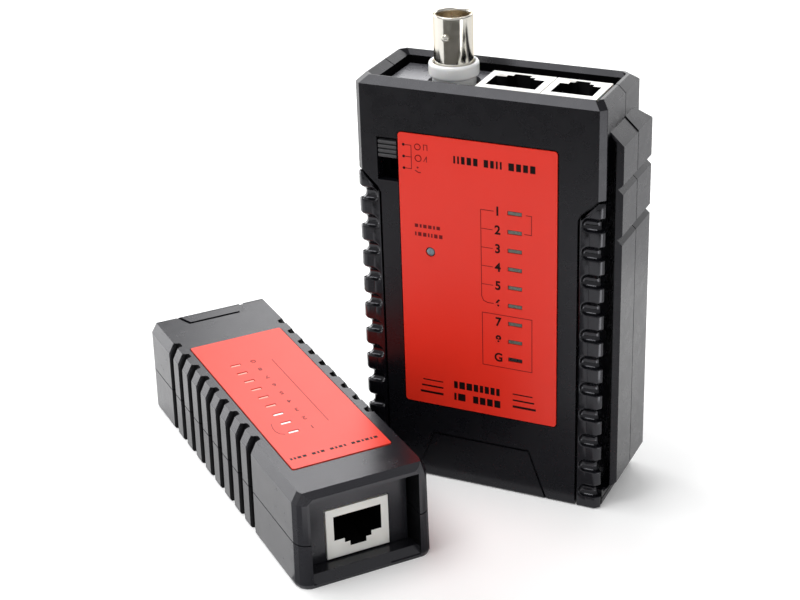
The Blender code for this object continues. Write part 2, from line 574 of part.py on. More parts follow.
def make_top_connectors():
    jack("socket_8_way", WIDE_X0, WIDE_X1, MOUTH_8_WAY, IVORY)
    jack("socket_6_way", NARROW_X0, NARROW_X1, MOUTH_6_WAY, IVORY)
    comb("contacts_8_way", 8, 1.1, (WIDE_X0 + WIDE_X1) / 2, JACK_Y0 + 2.4, JACK_Y0 + 3.7,
         95.0, 104.4, GOLD)
    comb("contacts_6_way", 6, 1.1, (NARROW_X0 + NARROW_X1) / 2, JACK_Y0 + 2.4, JACK_Y0 + 3.7,
         95.0, 104.4, GOLD)
    turned("bnc_base", [(BNC_RING_R - 0.4, BNC_RING_TOP), (BNC_RING_R, BNC_RING_TOP - 0.4),
                        (BNC_RING_R, 90.8), (BNC_R + GAP, 90.8), (BNC_R + GAP, BNC_RING_TOP)],
           (BNC_X, BNC_Y), WHITE, hollow=True)
    barrel = turned("bnc_barrel", [
        (BNC_R - 0.25, BNC_TOP), (BNC_R, BNC_TOP - 0.3), (BNC_R, 111.6), (BNC_R - 0.25, 111.2),
        (BNC_R - 0.25, 110.3), (BNC_R, 109.9), (BNC_R, 91.2), (2.8, 91.2), (2.8, 100.0),
        (BNC_BORE, 100.0), (BNC_BORE, BNC_TOP - 0.5), (BNC_BORE + 0.3, BNC_TOP)],
        (BNC_X, BNC_Y), NICKEL, hollow=True)
    for side in (-1, 1):
        near, far = sorted((side * 4.5, side * BNC_LUG_OUT))
        fuse(barrel, cylinder(f"bnc_lug_{side + 2}", BNC_LUG_R, BNC_Y + near, BNC_Y + far, 'Y',
                              (BNC_X, BNC_LUG_Z), sides=16))
    turned("bnc_dielectric", [(2.2, 116.2), (2.5, 115.9), (2.5, 91.2), (1.0, 91.2), (1.0, 116.2)],
           (BNC_X, BNC_Y), WHITE, hollow=True, steps=24)
    turned("bnc_contact", [(0.0, 112.0), (0.4, 112.0), (0.4, 115.8), (0.55, 115.8), (0.7, 115.6),
                           (0.7, 91.2), (0.0, 91.2)], (BNC_X, BNC_Y), GOLD, steps=16)


def make_connector_plate():
    plate = box("connector_plate", (MOUTH_X0 + 0.7, MOUTH_Y0 + GAP, FLANGE_Z1 - 0.2),
                (MOUTH_X1 - GAP, MOUTH_Y1 - 0.7, PLATE_TOP_Z), BLACK)
    fuse(plate, box("plate_flange", (MOUTH_X0 - FLANGE_OUT, -HALF_D + WALL + GAP, FLANGE_Z0),
                    (CAVITY_X - GAP, MOUTH_Y1 + FLANGE_OUT, FLANGE_Z1)))
    cut(plate, box("plate_jack_hole", (WIDE_X0 - GAP, -HALF_D, FLANGE_Z0 - 1.0),
                   (CAVITY_X + 2.0, JACK_Y1 + GAP, PLATE_TOP_Z + 1.0)))
    cut(plate, cylinder("plate_bnc_hole", BNC_RING_R + GAP, FLANGE_Z0 - 1.0, PLATE_TOP_Z + 1.0, 'Z',
                        (BNC_X, BNC_Y), sides=40))
    return plate


# ---------------------------------------------------------------- main unit: inside pieces

def make_boards():
    box("connector_board", (-19.8, -10.6, BOARD_Z0), (28.4, 6.2, BOARD_Z1), BOARD_GREEN)
    display_board = box("display_board", (-DISPLAY_HALF_W, DISPLAY_Y0, DISPLAY_Z0),
                        (DISPLAY_HALF_W, DISPLAY_Y1, BOARD_Z0 - GAP), BOARD_GREEN)
    cut(display_board, box("board_switch_notch", (-DISPLAY_HALF_W - 1.0, DISPLAY_Y0 - 1.0, 79.4),
                           (-20.1, DISPLAY_Y1 + 1.0, 95.0)))
    box("board_header", (-8.0, DISPLAY_Y1 + GAP, 84.0), (8.0, -4.6, BOARD_Z0 - GAP), CHIP)
    box("controller_chip", (-9.0, DISPLAY_Y1 + GAP, 58.0), (1.0, -5.0, 70.0), CHIP,
        bevel=0.25)


def make_battery():
    battery = box("battery", (BATTERY_X0, BATTERY_Y0, BATTERY_Z0), (BATTERY_X1, BATTERY_Y1, BATTERY_Z1),
                  STEEL, bevel=1.6, segments=2)
    middle_y = (BATTERY_Y0 + BATTERY_Y1) / 2
    for i, (z, radius) in enumerate(((10.3, 2.9), (23.0, 3.6))):
        fuse(battery, cylinder(f"battery_terminal_{i + 1}", radius, BATTERY_X1 - 1.0, TERMINAL_X1, 'X',
                               (middle_y, z), sides=20))
    box("battery_snap", (TERMINAL_X1 + GAP, middle_y - 6.2, 5.0), (27.4, middle_y + 6.2, 28.4), CHIP,
        bevel=0.6)


def make_battery_door():
    """Plate hinged at its lower edge, which is round about the pin axis."""
    profile = [(HINGE_Y - DOOR_HALF_T, DOOR_Z1)]
    profile += arc(HINGE_Y, HINGE_Z, DOOR_HALF_T, 180, 360, 8)
    profile.append((HINGE_Y + DOOR_HALF_T, DOOR_Z1))
    door = outline("battery_door", profile, 'X', -DOOR_HALF_W, DOOR_HALF_W, BLACK)
    fuse(door, cylinder("door_pins", HINGE_R, -DOOR_HALF_W - 1.3, DOOR_HALF_W + 1.3, 'X',
                        (HINGE_Y, HINGE_Z), sides=16))
    for i in range(4):
        z = 22.0 + 1.6 * i
        cut(door, box(f"door_thumb_groove_{i + 1}", (-6.0, HINGE_Y + DOOR_HALF_T - 0.4, z),
                      (6.0, HINGE_Y + DOOR_HALF_T + 1.0, z + 0.7)))
    hinge = Vector((0.0, HINGE_Y, HINGE_Z)) * MM
    door.data.transform(Matrix.Translation(-hinge) @ door.matrix_basis)
    door.matrix_basis = Matrix.Translation(hinge)


def make_case_screws():
    for i, (side, z) in enumerate((s, z) for z in SCREW_ZS for s in (-1, 1)):
        profile = [(0.0, 12.6), (SCREW_HEAD_R - 0.5, 12.6), (SCREW_HEAD_R, 12.2), (SCREW_HEAD_R, 11.9),
                   (SCREW_R, 11.85), (SCREW_R, -4.0), (0.0, -5.0)]
        screw = turned(f"case_screw_{i + 1}", profile, (0.0, 0.0), STEEL, steps=12)
        screw.rotation_euler = (math.radians(-90), 0.0, 0.0)
        screw.location = (side * SCREW_X * MM, 0.0, z * MM)
        for turn, (half_a, half_b) in enumerate(((1.3, 0.25), (0.25, 1.3))):
            cut(screw, box(f"case_screw_{i + 1}_slot_{turn + 1}",
                           (side * SCREW_X - half_a, 12.0, z - half_b),
                           (side * SCREW_X + half_a, 13.5, z + half_b)))


# ---------------------------------------------------------------- remote unit

def remote_section(inset):
    """Half section of the remote's outside at one end, from its base to its top."""
    return [(R_BASE_HALF - inset, 0.0), (R_LOW_HALF - inset, R_LOW_Z), (R_PART_HALF - inset, R_PART),
            (R_CHAMFER_HALF - inset, R_CHAMFER_Z), (R_TOP_HALF - inset, R_TOP)]


def remote_body(name, material):
    """Outside of the remote: a loft between sections, drawn in at each end, most at the socket end."""
    stations = ((0.0, 2.6, 1.5), (0.5, 1.5, 1.0), (1.5, 0.55, 0.0), (3.2, 0.0, 0.0),
                (R_LEN - 2.0, 0.0, 0.0), (R_LEN - 1.1, 0.1, 0.15), (R_LEN - 0.4, 0.4, 0.6),
                (R_LEN, 1.1, 1.2))
    rings = []
    for y, inset, drop in stations:
        ring = [(x, z if z < R_TOP else z - drop) for x, z in remote_section(inset)]
        ring += [(-x, z) for x, z in reversed(ring)]
        rings.append([(x, y, z) for x, z in ring])
    return loft(name, rings, material, REMOTE)


def remote_groove(name, side, y):
    """Side groove with eased shoulders. It follows the flank and the upper chamfer into the top face."""
    floor = [(16.15, -1.0, 1.0), (16.15, 1.5, 1.0), (16.0, R_PART, 1.0), (15.9, 20.2, 1.0),
             (15.75, 21.6, 1.0), (15.35, 22.8, 1.0), (14.8, 23.8, 1.0), (14.3, 24.7, 1.0),
             (14.15, R_TOP, 1.0), (14.15, R_TOP + 1.0, 1.0)]
    steps = ((0.0, 0.75), (0.35, 1.15), (1.0, 1.3), (1.4, 1.65), (4.2, 2.3))    # out from the floor, half width
    rings = []
    for x, z, taper in floor:
        near = [(side * (x + out), y - half * taper, z) for out, half in steps]
        far = [(side * (x + out), y + half * taper, z) for out, half in reversed(steps)]
        rings.append(near + far)
    return loft(name, rings, parent=REMOTE)


def make_remote_shell(name, low, high):
    shell = remote_body(name, BLACK)
    if low > 0:
        cut(shell, box(name + "_keep", (-30, -10, -10), (30, 120, low), parent=REMOTE))
    else:
        cut(shell, box(name + "_keep", (-30, -10, high), (30, 120, 60), parent=REMOTE))
    cut(shell, box(name + "_cavity", (-R_CAVITY_X, -2.0, R_CAVITY_Z0),
                   (R_CAVITY_X, R_CAVITY_Y1, R_CAVITY_Z1), parent=REMOTE))
    for i in range(R_GROOVE_COUNT):
        y = R_GROOVE_Y0 + R_GROOVE_PITCH * i
        cut(shell, remote_groove(f"{name}_groove_right_{i + 1}", 1, y),
            remote_groove(f"{name}_groove_left_{i + 1}", -1, y))
    return shell


def make_remote():
    upper = make_remote_shell("remote_upper_shell", R_PART + 0.15, R_TOP)
    cut(upper, outline("remote_label_pocket", rounded_rectangle(
        -R_LABEL_HALF - GAP, R_LABEL_HALF + GAP, R_LABEL_Y0 - GAP, R_LABEL_Y1 + GAP, 0.8), 'Z',
        R_TOP - 0.55, R_TOP + 1.0, parent=REMOTE))
    label = outline("remote_label", rounded_rectangle(
        -R_LABEL_HALF, R_LABEL_HALF, R_LABEL_Y0, R_LABEL_Y1, 0.6), 'Z',
        R_TOP - 0.3, R_TOP + 0.2, RED, REMOTE)
    for i in range(ROW_COUNT):
        y = R_ROW_Y0 + R_ROW_PITCH * i
        low = (R_ROW_X - R_ROW_HALF_W, y - R_ROW_HALF_H)
        high = (R_ROW_X + R_ROW_HALF_W, y + R_ROW_HALF_H)
        for target, margin in ((upper, GAP), (label, 0.15)):
            cut(target, box(f"{target.name}_slot_{i + 1}", (low[0] - margin, low[1] - margin, 20.0),
                            (high[0] + margin, high[1] + margin, 30.0), parent=REMOTE))
        box(f"remote_light_{i + 1}", (*low, R_BOARD_Z1 + GAP), (*high, R_TOP + 0.05), LENS, REMOTE)
    cut(upper, panel_groove_remote("remote_panel_groove"))
    lower = make_remote_shell("remote_lower_shell", 0.0, R_PART - 0.15)
    fuse(lower, box("remote_sill", (-R_CAVITY_X - 0.3, 0.5, R_CAVITY_Z0 - 0.4),
                    (R_CAVITY_X + 0.3, R_SILL_Y, R_SILL_Z), parent=REMOTE))
    cut(lower, outline("remote_sill_slope", [(-1.0, R_SILL_EDGE - 1.0), (3.0, R_SILL_EDGE + 3.0),
                                             (-1.0, R_SILL_EDGE + 3.0)], 'X',
                       0.1 - R_CAVITY_X, R_CAVITY_X - 0.1, parent=REMOTE))
    for i, side in enumerate((-1, 1)):
        centre = (side * R_SCREW_X, R_SCREW_Y)
        fuse(upper, cylinder(f"remote_upper_boss_{i + 1}", BOSS_R, R_PART + 0.4, R_CAVITY_Z1 + 0.5,
                             'Z', centre, parent=REMOTE))
        cut(upper, cylinder(f"remote_upper_bore_{i + 1}", BOSS_BORE, R_PART, 20.0, 'Z', centre,
                            parent=REMOTE))
        fuse(lower, cylinder(f"remote_lower_boss_{i + 1}", BOSS_R, R_CAVITY_Z0 - 0.3, R_PART - 0.4,
                             'Z', centre, parent=REMOTE))
        cut(lower, cylinder(f"remote_lower_bore_{i + 1}", BOSS_BORE, -1.0, R_PART + 1.0, 'Z', centre,
                            parent=REMOTE))
        cut(lower, cylinder(f"remote_head_bore_{i + 1}", SCREW_HEAD_R + GAP, -1.0, 2.9, 'Z', centre,
                            parent=REMOTE))
        profile = [(0.0, 19.0), (SCREW_R, 18.0), (SCREW_R, 2.6), (SCREW_HEAD_R, 2.55),
                   (SCREW_HEAD_R, 0.8), (0.0, 0.8)]
        screw = turned(f"remote_screw_{i + 1}", profile, centre, STEEL, steps=12)
        screw.parent = REMOTE
    make_remote_inside()


def panel_groove_remote(name):
    """Trapezoid groove at the far end of the top face, widest at the end."""
    near, near_half, far_half = 98.3, 7.9, 10.6
    points = [(-far_half, R_LEN + 1), (-near_half, near), (near_half, near), (far_half, R_LEN + 1),
              (far_half - R_PANEL_LINE, R_LEN + 1), (near_half - 0.7, near + R_PANEL_LINE),
              (-near_half + 0.7, near + R_PANEL_LINE), (-far_half + R_PANEL_LINE, R_LEN + 1)]
    return outline(name, points, 'Z', R_TOP - R_PANEL_DEEP, R_TOP + 1.0, parent=REMOTE)


def make_remote_inside():
    jack_body = box("remote_socket", (-R_JACK_HALF, R_PANEL_Y0 - 0.25, R_JACK_Z0),
                    (R_JACK_HALF, R_JACK_Y1, R_JACK_Z1), IVORY, REMOTE)
    top = R_JACK_Z1 - 2.1
    for i, (half, near, far) in enumerate(MOUTH_8_WAY):
        cut(jack_body, box(f"remote_socket_mouth_{i + 1}", (-half, 0.0, top - far),
                           (half, R_JACK_Y1 - 3.2, top - near), parent=REMOTE))
    teeth = [(-4.4, top - 0.3)]
    for i in range(8):
        x = 1.1 * (i - 3.5)
        teeth += [(x - 0.3, top - 0.7), (x - 0.3, top - 2.1), (x + 0.3, top - 2.1), (x + 0.3, top - 0.7)]
    teeth = [teeth[0], (-4.4, top - 0.7)] + teeth[1:] + [(4.4, top - 0.7), (4.4, top - 0.3)]
    outline("remote_contacts", teeth, 'Y', R_PANEL_Y0 + 2.8, R_JACK_Y1 - 3.6, GOLD, REMOTE)
    panel = box("remote_end_panel", (-R_PANEL_X, R_PANEL_Y0, R_PANEL_Z0),
                (R_PANEL_X, R_PANEL_Y1, R_PANEL_Z1), BLACK, REMOTE)
    cut(panel, box("remote_panel_hole", (-R_JACK_HALF - GAP, 0.0, R_JACK_Z0 - GAP),
                   (R_JACK_HALF + GAP, 10.0, R_JACK_Z1 + GAP), parent=REMOTE))
    box("remote_board", (-13.0, R_PANEL_Y1 + GAP, R_BOARD_Z0), (13.0, 92.0, R_BOARD_Z1), BOARD_GREEN, REMOTE)


def main():
    make_front_shell()
    make_rear_shell()
    make_grip("grip_left", -1)
    make_grip("grip_right", 1)
    make_label()
    make_lights()
    make_switch()
    make_top_connectors()
    make_connector_plate()
    make_boards()
    make_battery()
    make_battery_door()
    make_case_screws()
    make_remote()


main()
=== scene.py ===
"""Looks of the two-piece network cable tester: materials, printed faceplates, finer pieces, light and camera.

Sizes are in millimetres, in the CAD frame: the origin is the centre of the main unit's base, -Y is out of
its faceplate, +Z is up. The remote unit has its own frame: x across, y from its socket end, z up.
"""
import math

import bmesh
import bpy
from mathutils import Matrix, Vector


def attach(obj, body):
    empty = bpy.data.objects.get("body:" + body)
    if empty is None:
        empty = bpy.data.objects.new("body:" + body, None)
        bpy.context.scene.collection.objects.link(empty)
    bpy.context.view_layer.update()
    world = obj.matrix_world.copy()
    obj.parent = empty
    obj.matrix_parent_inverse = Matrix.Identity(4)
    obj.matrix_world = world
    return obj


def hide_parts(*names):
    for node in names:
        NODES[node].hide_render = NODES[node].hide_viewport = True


MM = 0.001
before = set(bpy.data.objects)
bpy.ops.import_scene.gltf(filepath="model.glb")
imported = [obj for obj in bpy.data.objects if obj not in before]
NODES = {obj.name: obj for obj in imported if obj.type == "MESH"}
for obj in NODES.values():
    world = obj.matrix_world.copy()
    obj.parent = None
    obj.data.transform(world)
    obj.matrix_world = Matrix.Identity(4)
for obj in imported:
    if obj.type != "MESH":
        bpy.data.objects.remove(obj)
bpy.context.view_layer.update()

REMOTE = (Matrix.Translation(Vector((-10.0, -59.75, 0.0)) * MM)
          @ Matrix.Rotation(math.radians(50.3), 4, 'Z'))
MAIN = Matrix.Identity(4)

ROWS = 9                                 # lights in a row, each with its figure
NEAR_LIGHTS = 3                          # lights of the remote, from its socket end, whose lenses are coloured near-white as a painted highlight
ROW_TOP_Z, ROW_PITCH = 77.4, 4.895
R_ROW_Y0, R_ROW_PITCH = 28.9, 4.94
# the grooves' half width reaches over their shoulders, so that the painted shade covers them too
R_GROOVES, R_GROOVE_Y0, R_GROOVE_PITCH, R_GROOVE_HALF = 9, 30.4, 7.13, 1.6
R_GROOVE_END, R_GROOVE_FOOT = 13.9, 0.8  # the grooves stop this far from the remote's middle and base
FACE_Y, R_TOP = -13.45, 25.9             # printed planes of the two labels
BNC_X, BNC_Y, LUG_Z = -10.95, -0.3, 116.1
FIGURES = "12345678G"


# ---------------------------------------------------------------- materials

NOISE_ROUGHNESS = 0.55
NOISE_LOW, NOISE_HIGH = 0.3, 0.7         # the noise's usual range
COAT_ROUGHNESS = 0.2
SCATTER = (0.002, 0.0015, 0.001)         # how far light spreads in pale plastic: red, green, blue


def new_material(name):
    """A material with its nodes and links."""
    made = bpy.data.materials.new(name)
    made.use_nodes = True
    return made, made.node_tree.nodes, made.node_tree.links


def noise(nodes, links, scale, detail=3.0):
    """Noise in object space: scale is the size of its grain in millimetres."""
    place = nodes.new("ShaderNodeTexCoord")
    field = nodes.new("ShaderNodeTexNoise")
    field.inputs["Scale"].default_value = 1.0 / (scale * MM)
    field.inputs["Detail"].default_value = detail
    field.inputs["Roughness"].default_value = NOISE_ROUGHNESS
    links.new(place.outputs["Object"], field.inputs["Vector"])
    return field.outputs["Fac"]


def ranged(nodes, links, value, low, high):
    """Spreads a noise value over a range."""
    step = nodes.new("ShaderNodeMapRange")
    step.inputs["From Min"].default_value = NOISE_LOW
    step.inputs["From Max"].default_value = NOISE_HIGH
    step.inputs["To Min"].default_value = low
    step.inputs["To Max"].default_value = high
    links.new(value, step.inputs["Value"])
    return step.outputs["Result"]


def surface(name, colour, roughness, metallic=0.0, specular=0.5, tint=0.10, patch=9.0,
            rough_swing=0.05, grain=0.3, grain_depth=0.0, coat=0.0, subsurface=0.0, sheen=(1.0, 1.0, 1.0)):
    """A moulded, painted or plated finish: slow colour drift, uneven gloss and a fine surface grain.

    Patch and grain are the sizes of the drift and of the grain, and grain_depth is its depth, all in
    millimetres. Sheen is the tint of its reflections.
    """
    made, nodes, links = new_material(name)
    shader = nodes["Principled BSDF"]
    shader.inputs["Metallic"].default_value = metallic
    shader.inputs["Specular IOR Level"].default_value = specular
    shader.inputs["Coat Weight"].default_value = coat
    shader.inputs["Coat Roughness"].default_value = COAT_ROUGHNESS
    if subsurface:
        shader.inputs["Subsurface Weight"].default_value = subsurface
        shader.inputs["Subsurface Radius"].default_value = SCATTER
        shader.inputs["Subsurface Scale"].default_value = 1.0
    shader.inputs["Specular Tint"].default_value = (*sheen, 1.0)
    mix = nodes.new("ShaderNodeMix")
    mix.data_type = 'RGBA'
    mix.inputs["A"].default_value = (*[c * (1.0 - tint) for c in colour], 1.0)
    mix.inputs["B"].default_value = (*[min(1.0, c * (1.0 + tint)) for c in colour], 1.0)
    links.new(noise(nodes, links, patch), mix.inputs["Factor"])
    links.new(mix.outputs["Result"], shader.inputs["Base Color"])
    links.new(ranged(nodes, links, noise(nodes, links, patch * 0.45), roughness - rough_swing,
                     roughness + rough_swing), shader.inputs["Roughness"])
    if grain_depth:
        bump = nodes.new("ShaderNodeBump")
        bump.inputs["Strength"].default_value = 1.0
        bump.inputs["Distance"].default_value = grain_depth * MM
        links.new(noise(nodes, links, grain, 2.0), bump.inputs["Height"])
        links.new(bump.outputs["Normal"], shader.inputs["Normal"])
    return made


BLACK = surface("moulded_black", (0.0040, 0.0040, 0.0055), 0.28, specular=0.36, tint=0.15,
                rough_swing=0.03, grain=0.30, grain_depth=0.0018, sheen=(0.94, 0.94, 1.0))
# Painted light: the remote's copy of the black plastic is lighter and glossier than the main unit's, so that
# the remote looks more brightly lit.
BLACK_REMOTE_LIT = surface("moulded_black_remote_painted_light", (0.010, 0.010, 0.013), 0.25, specular=0.66, tint=0.15,
                       rough_swing=0.03, grain=0.30, grain_depth=0.0018, sheen=(0.95, 0.95, 1.0))
KNOB = surface("knob_black", (0.030, 0.030, 0.033), 0.34, specular=0.55, tint=0.15,
               rough_swing=0.04, grain=0.22, grain_depth=0.004)
SOFT = surface("soft_black", (0.0030, 0.0030, 0.0042), 0.18, specular=0.46, tint=0.15,
               rough_swing=0.04, grain=0.3, grain_depth=0.002, sheen=(0.93, 0.93, 1.0))
DARK_PLATE = surface("plate_black", (0.090, 0.090, 0.100), 0.30, specular=1.0, tint=0.1,
                     grain=0.25, grain_depth=0.004, sheen=(0.94, 0.94, 1.0))
# Matte black with almost no gloss: painted shade on the walls of the socket mouths and of the hollow in the
# top rim, and the switch body's own black.
SHADE = surface("matte_black_and_painted_shade", (0.0015, 0.0015, 0.0018), 0.75, specular=0.03, tint=0.2,
                grain=0.4, grain_depth=0.004)
# Painted shade: the remote's grooves and their shoulders take a dull black that hardly reflects.
GROOVE_SHADE = surface("painted_groove_shade", (0.004, 0.004, 0.005), 0.55, specular=0.10, tint=0.2,
                       grain=0.30, grain_depth=0.004)
RED = surface("red_overlay", (0.76, 0.027, 0.012), 0.30, specular=0.40, tint=0.04, patch=18.0,
              rough_swing=0.015, grain=0.18, grain_depth=0.003)
RED_REMOTE = surface("red_overlay_remote", (0.80, 0.050, 0.028), 0.34, specular=0.36, tint=0.04,
                     patch=18.0, rough_swing=0.015, grain=0.18, grain_depth=0.003)
INK = surface("black_ink", (0.006, 0.003, 0.003), 0.42, specular=0.12, tint=0.2, grain=0.1,
              grain_depth=0.002)
FINE_INK = surface("dark_red_ink", (0.14, 0.004, 0.004), 0.45, specular=0.2, tint=0.2, grain=0.1,
                   grain_depth=0.002)
IVORY = surface("ivory_socket", (0.86, 0.85, 0.81), 0.38, tint=0.03, grain=0.4, grain_depth=0.003,
                subsurface=0.1)
NYLON = surface("white_nylon", (0.98, 0.98, 0.97), 0.24, specular=0.95, tint=0.01, grain=0.4,
                grain_depth=0.003, subsurface=0.15)
NICKEL = surface("nickel", (0.66, 0.64, 0.59), 0.14, metallic=1.0, tint=0.05, patch=4.0,
                 rough_swing=0.03, grain=0.5, grain_depth=0.0010, sheen=(0.62, 0.56, 0.46))
BRASS = surface("warm_bore", (0.62, 0.52, 0.38), 0.30, metallic=1.0, tint=0.12, patch=2.0,
                grain=0.3, grain_depth=0.002)
GOLD = surface("gold", (0.82, 0.60, 0.26), 0.24, metallic=1.0, tint=0.08, patch=2.0, grain=0.3,
               grain_depth=0.001)
STEEL = surface("zinc_steel", (0.42, 0.42, 0.43), 0.34, metallic=1.0, tint=0.12, patch=2.0,
                grain=0.25, grain_depth=0.003)
GREEN = surface("solder_mask", (0.012, 0.12, 0.05), 0.35, tint=0.2, patch=3.0, grain=0.5,
                grain_depth=0.01)
CHIP = surface("chip_black", (0.018, 0.018, 0.02), 0.55, tint=0.2, patch=2.0, grain=0.2,
               grain_depth=0.006)
LENS = surface("light_lens", (0.105, 0.125, 0.105), 0.22, tint=0.75, patch=0.5, grain=0.35,
               grain_depth=0.02, coat=0.3)
LENS_DARK = surface("dark_lens", (0.012, 0.012, 0.013), 0.30, tint=0.3, patch=1.1, grain=0.35,
                    grain_depth=0.01)
LENS_POWER = surface("power_lens", (0.15, 0.21, 0.24), 0.15, tint=0.3, patch=1.0, grain=0.4,
                     grain_depth=0.01, coat=0.5)
# Painted highlight: the near lenses of the remote are near-white where light glints on them; the far ones keep
# a pale red.
LENS_REMOTE_HIGHLIGHT = surface("remote_lens_painted_highlight", (0.97, 0.95, 0.91), 0.2, tint=0.1, patch=1.0,
                      grain=0.35, grain_depth=0.01, coat=0.5)
LENS_PALE = surface("light_lens_far", (0.93, 0.34, 0.27), 0.25, tint=0.1, patch=1.0,
                    grain=0.35, grain_depth=0.003)
WRAP = surface("battery_wrap", (0.05, 0.05, 0.06), 0.3, metallic=0.6, tint=0.3, patch=6.0,
               grain=0.5, grain_depth=0.01)
FLOOR = surface("floor_white", (0.93, 0.93, 0.93), 0.85, specular=0.05, tint=0.004, patch=60.0,
                grain=2.0, grain_depth=0.0)


def paper(name, colour, tint):
    """A matte sheet that stands in the studio."""
    return surface(name, colour, 0.9, specular=0.0, tint=tint, patch=60.0)


CARD = paper("card_white", (0.8, 0.8, 0.8), 0.02)
CARD_PALE = paper("card_pale", (0.8, 0.8, 0.8), 0.02)
FLAG = paper("flag_grey", (0.10, 0.095, 0.085), 0.3)
FLAG_MIDDLE = paper("flag_middle", (0.30, 0.30, 0.31), 0.1)
FLAG_PALE = paper("flag_pale", (0.70, 0.70, 0.71), 0.1)

NODE_MATERIALS = {
    "front_shell": BLACK, "rear_shell": BLACK, "battery_door": BLACK,
    "remote_upper_shell": BLACK_REMOTE_LIT, "remote_lower_shell": BLACK_REMOTE_LIT, "remote_end_panel": BLACK_REMOTE_LIT,
    "connector_plate": DARK_PLATE, "grip_left": SOFT, "grip_right": SOFT, "switch_knob": SOFT,
    "faceplate_label": RED, "remote_label": RED_REMOTE,
    "socket_8_way": IVORY, "socket_6_way": IVORY, "remote_socket": IVORY,
    "bnc_base": NYLON, "bnc_dielectric": NYLON, "bnc_barrel": NICKEL, "bnc_contact": GOLD,
    "contacts_8_way": GOLD, "contacts_6_way": GOLD, "remote_contacts": GOLD,
    "connector_board": GREEN, "display_board": GREEN, "remote_board": GREEN,
    "board_header": CHIP, "controller_chip": CHIP, "battery_snap": CHIP, "switch_body": SHADE,
    "battery": WRAP, "power_light": LENS_POWER,
}


def dress_nodes():
    """Gives every CAD node its finish."""
    for name, node in NODES.items():
        if name == "row_light_9":
            chosen = LENS_DARK
        elif name.startswith("row_light"):
            chosen = LENS
        elif name.startswith("remote_light"):
            # painted highlight: the near lenses of the remote take the near-white lens
            chosen = LENS_REMOTE_HIGHLIGHT if int(name[-1]) <= NEAR_LIGHTS else LENS_PALE
        elif "screw" in name:
            chosen = STEEL
        else:
            chosen = NODE_MATERIALS[name]
        node.data.materials.clear()
        node.data.materials.append(chosen)


# ---------------------------------------------------------------- shape helpers

def new_object(name, mesh, place=MAIN):
    """An object in the scene that shows a mesh."""
    made = bpy.data.objects.new(name, mesh)
    bpy.context.scene.collection.objects.link(made)
    made.matrix_world = place
    return made


def mesh_from(name, shape, *materials):
    """Turns a bmesh into a mesh with these materials, and frees it."""
    mesh = bpy.data.meshes.new(name)
    shape.to_mesh(mesh)
    shape.free()
    for material in materials:
        mesh.materials.append(material)
    return mesh


INK_THICK = 0.025
CAP_SHARE = 0.7                          # height of a capital as a share of the font's size


def plate(shape, points, to_space, thick):
    """One thin printed shape: an outline in the printed plane, raised by its thickness."""
    low = [shape.verts.new(to_space(u, v, 0.0)) for u, v in points]
    high = [shape.verts.new(to_space(u, v, thick)) for u, v in points]
    shape.faces.new(low[::-1])
    shape.faces.new(high)
    for i in range(len(points)):
        j = (i + 1) % len(points)
        shape.faces.new((low[i], low[j], high[j], high[i]))


def bar_points(u0, u1, v0, v1):
    """A printed rectangle."""
    return [(u0, v0), (u1, v0), (u1, v1), (u0, v1)]


def stroke_points(a, b, width):
    """A straight stroke between two points, square at its ends."""
    du, dv = b[0] - a[0], b[1] - a[1]
    length = math.hypot(du, dv)
    nu, nv = -dv / length * width / 2, du / length * width / 2
    eu, ev = du / length * width / 2, dv / length * width / 2
    return [(a[0] - eu + nu, a[1] - ev + nv), (a[0] - eu - nu, a[1] - ev - nv),
            (b[0] + eu - nu, b[1] + ev - nv), (b[0] + eu + nu, b[1] + ev + nv)]


def polyline(points, width):
    """Straight strokes from each point to the next."""
    return [stroke_points(a, b, width) for a, b in zip(points, points[1:])]


def disc_points(u, v, radius, count=16):
    return [(u + radius * math.cos(2 * math.pi * i / count), v + radius * math.sin(2 * math.pi * i / count))
            for i in range(count)]


def face_space(u, v, w):
    """The main unit's faceplate: u is x, v is z, w is out of it."""
    return Vector((u, FACE_Y - w, v)) * MM


def remote_space(u, v, w):
    """The remote's label: u is x, v is y, w is out of it."""
    return Vector((u, v, R_TOP + w)) * MM


def printed(name, outlines, material, body, to_space, place=MAIN):
    """A piece made of thin raised outlines."""
    shape = bmesh.new()
    for points in outlines:
        plate(shape, points, to_space, INK_THICK)
    bmesh.ops.recalc_face_normals(shape, faces=shape.faces)
    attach(new_object(name, mesh_from(name, shape, material), place), body)


def numeral(name, text, u, v, height, material, body, to_space, place=MAIN, stretch=1.0, weight=0.0,
            turned=0.0):
    """A printed figure, centred on a point of the printed plane."""
    curve = bpy.data.curves.new(name, 'FONT')
    curve.body = text
    curve.size = height / CAP_SHARE * MM
    curve.align_x = 'CENTER'
    curve.align_y = 'CENTER'
    curve.offset = weight * MM
    curve.extrude = INK_THICK / 2 * MM
    flat = bpy.data.objects.new(name, curve)
    bpy.context.scene.collection.objects.link(flat)
    bpy.context.view_layer.update()
    mesh = bpy.data.meshes.new_from_object(flat.evaluated_get(bpy.context.evaluated_depsgraph_get()))
    bpy.data.objects.remove(flat)
    turn = Matrix.Rotation(turned, 2)
    for vert in mesh.vertices:
        flat_spot = turn @ Vector((vert.co.x * stretch, vert.co.y))
        vert.co = to_space(u + flat_spot.x / MM, v + flat_spot.y / MM, INK_THICK / 2 + vert.co.z / MM)
    mesh.materials.clear()
    mesh.materials.append(material)
    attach(new_object(name, mesh, place), body)


# ---------------------------------------------------------------- finer pieces that stand for CAD nodes

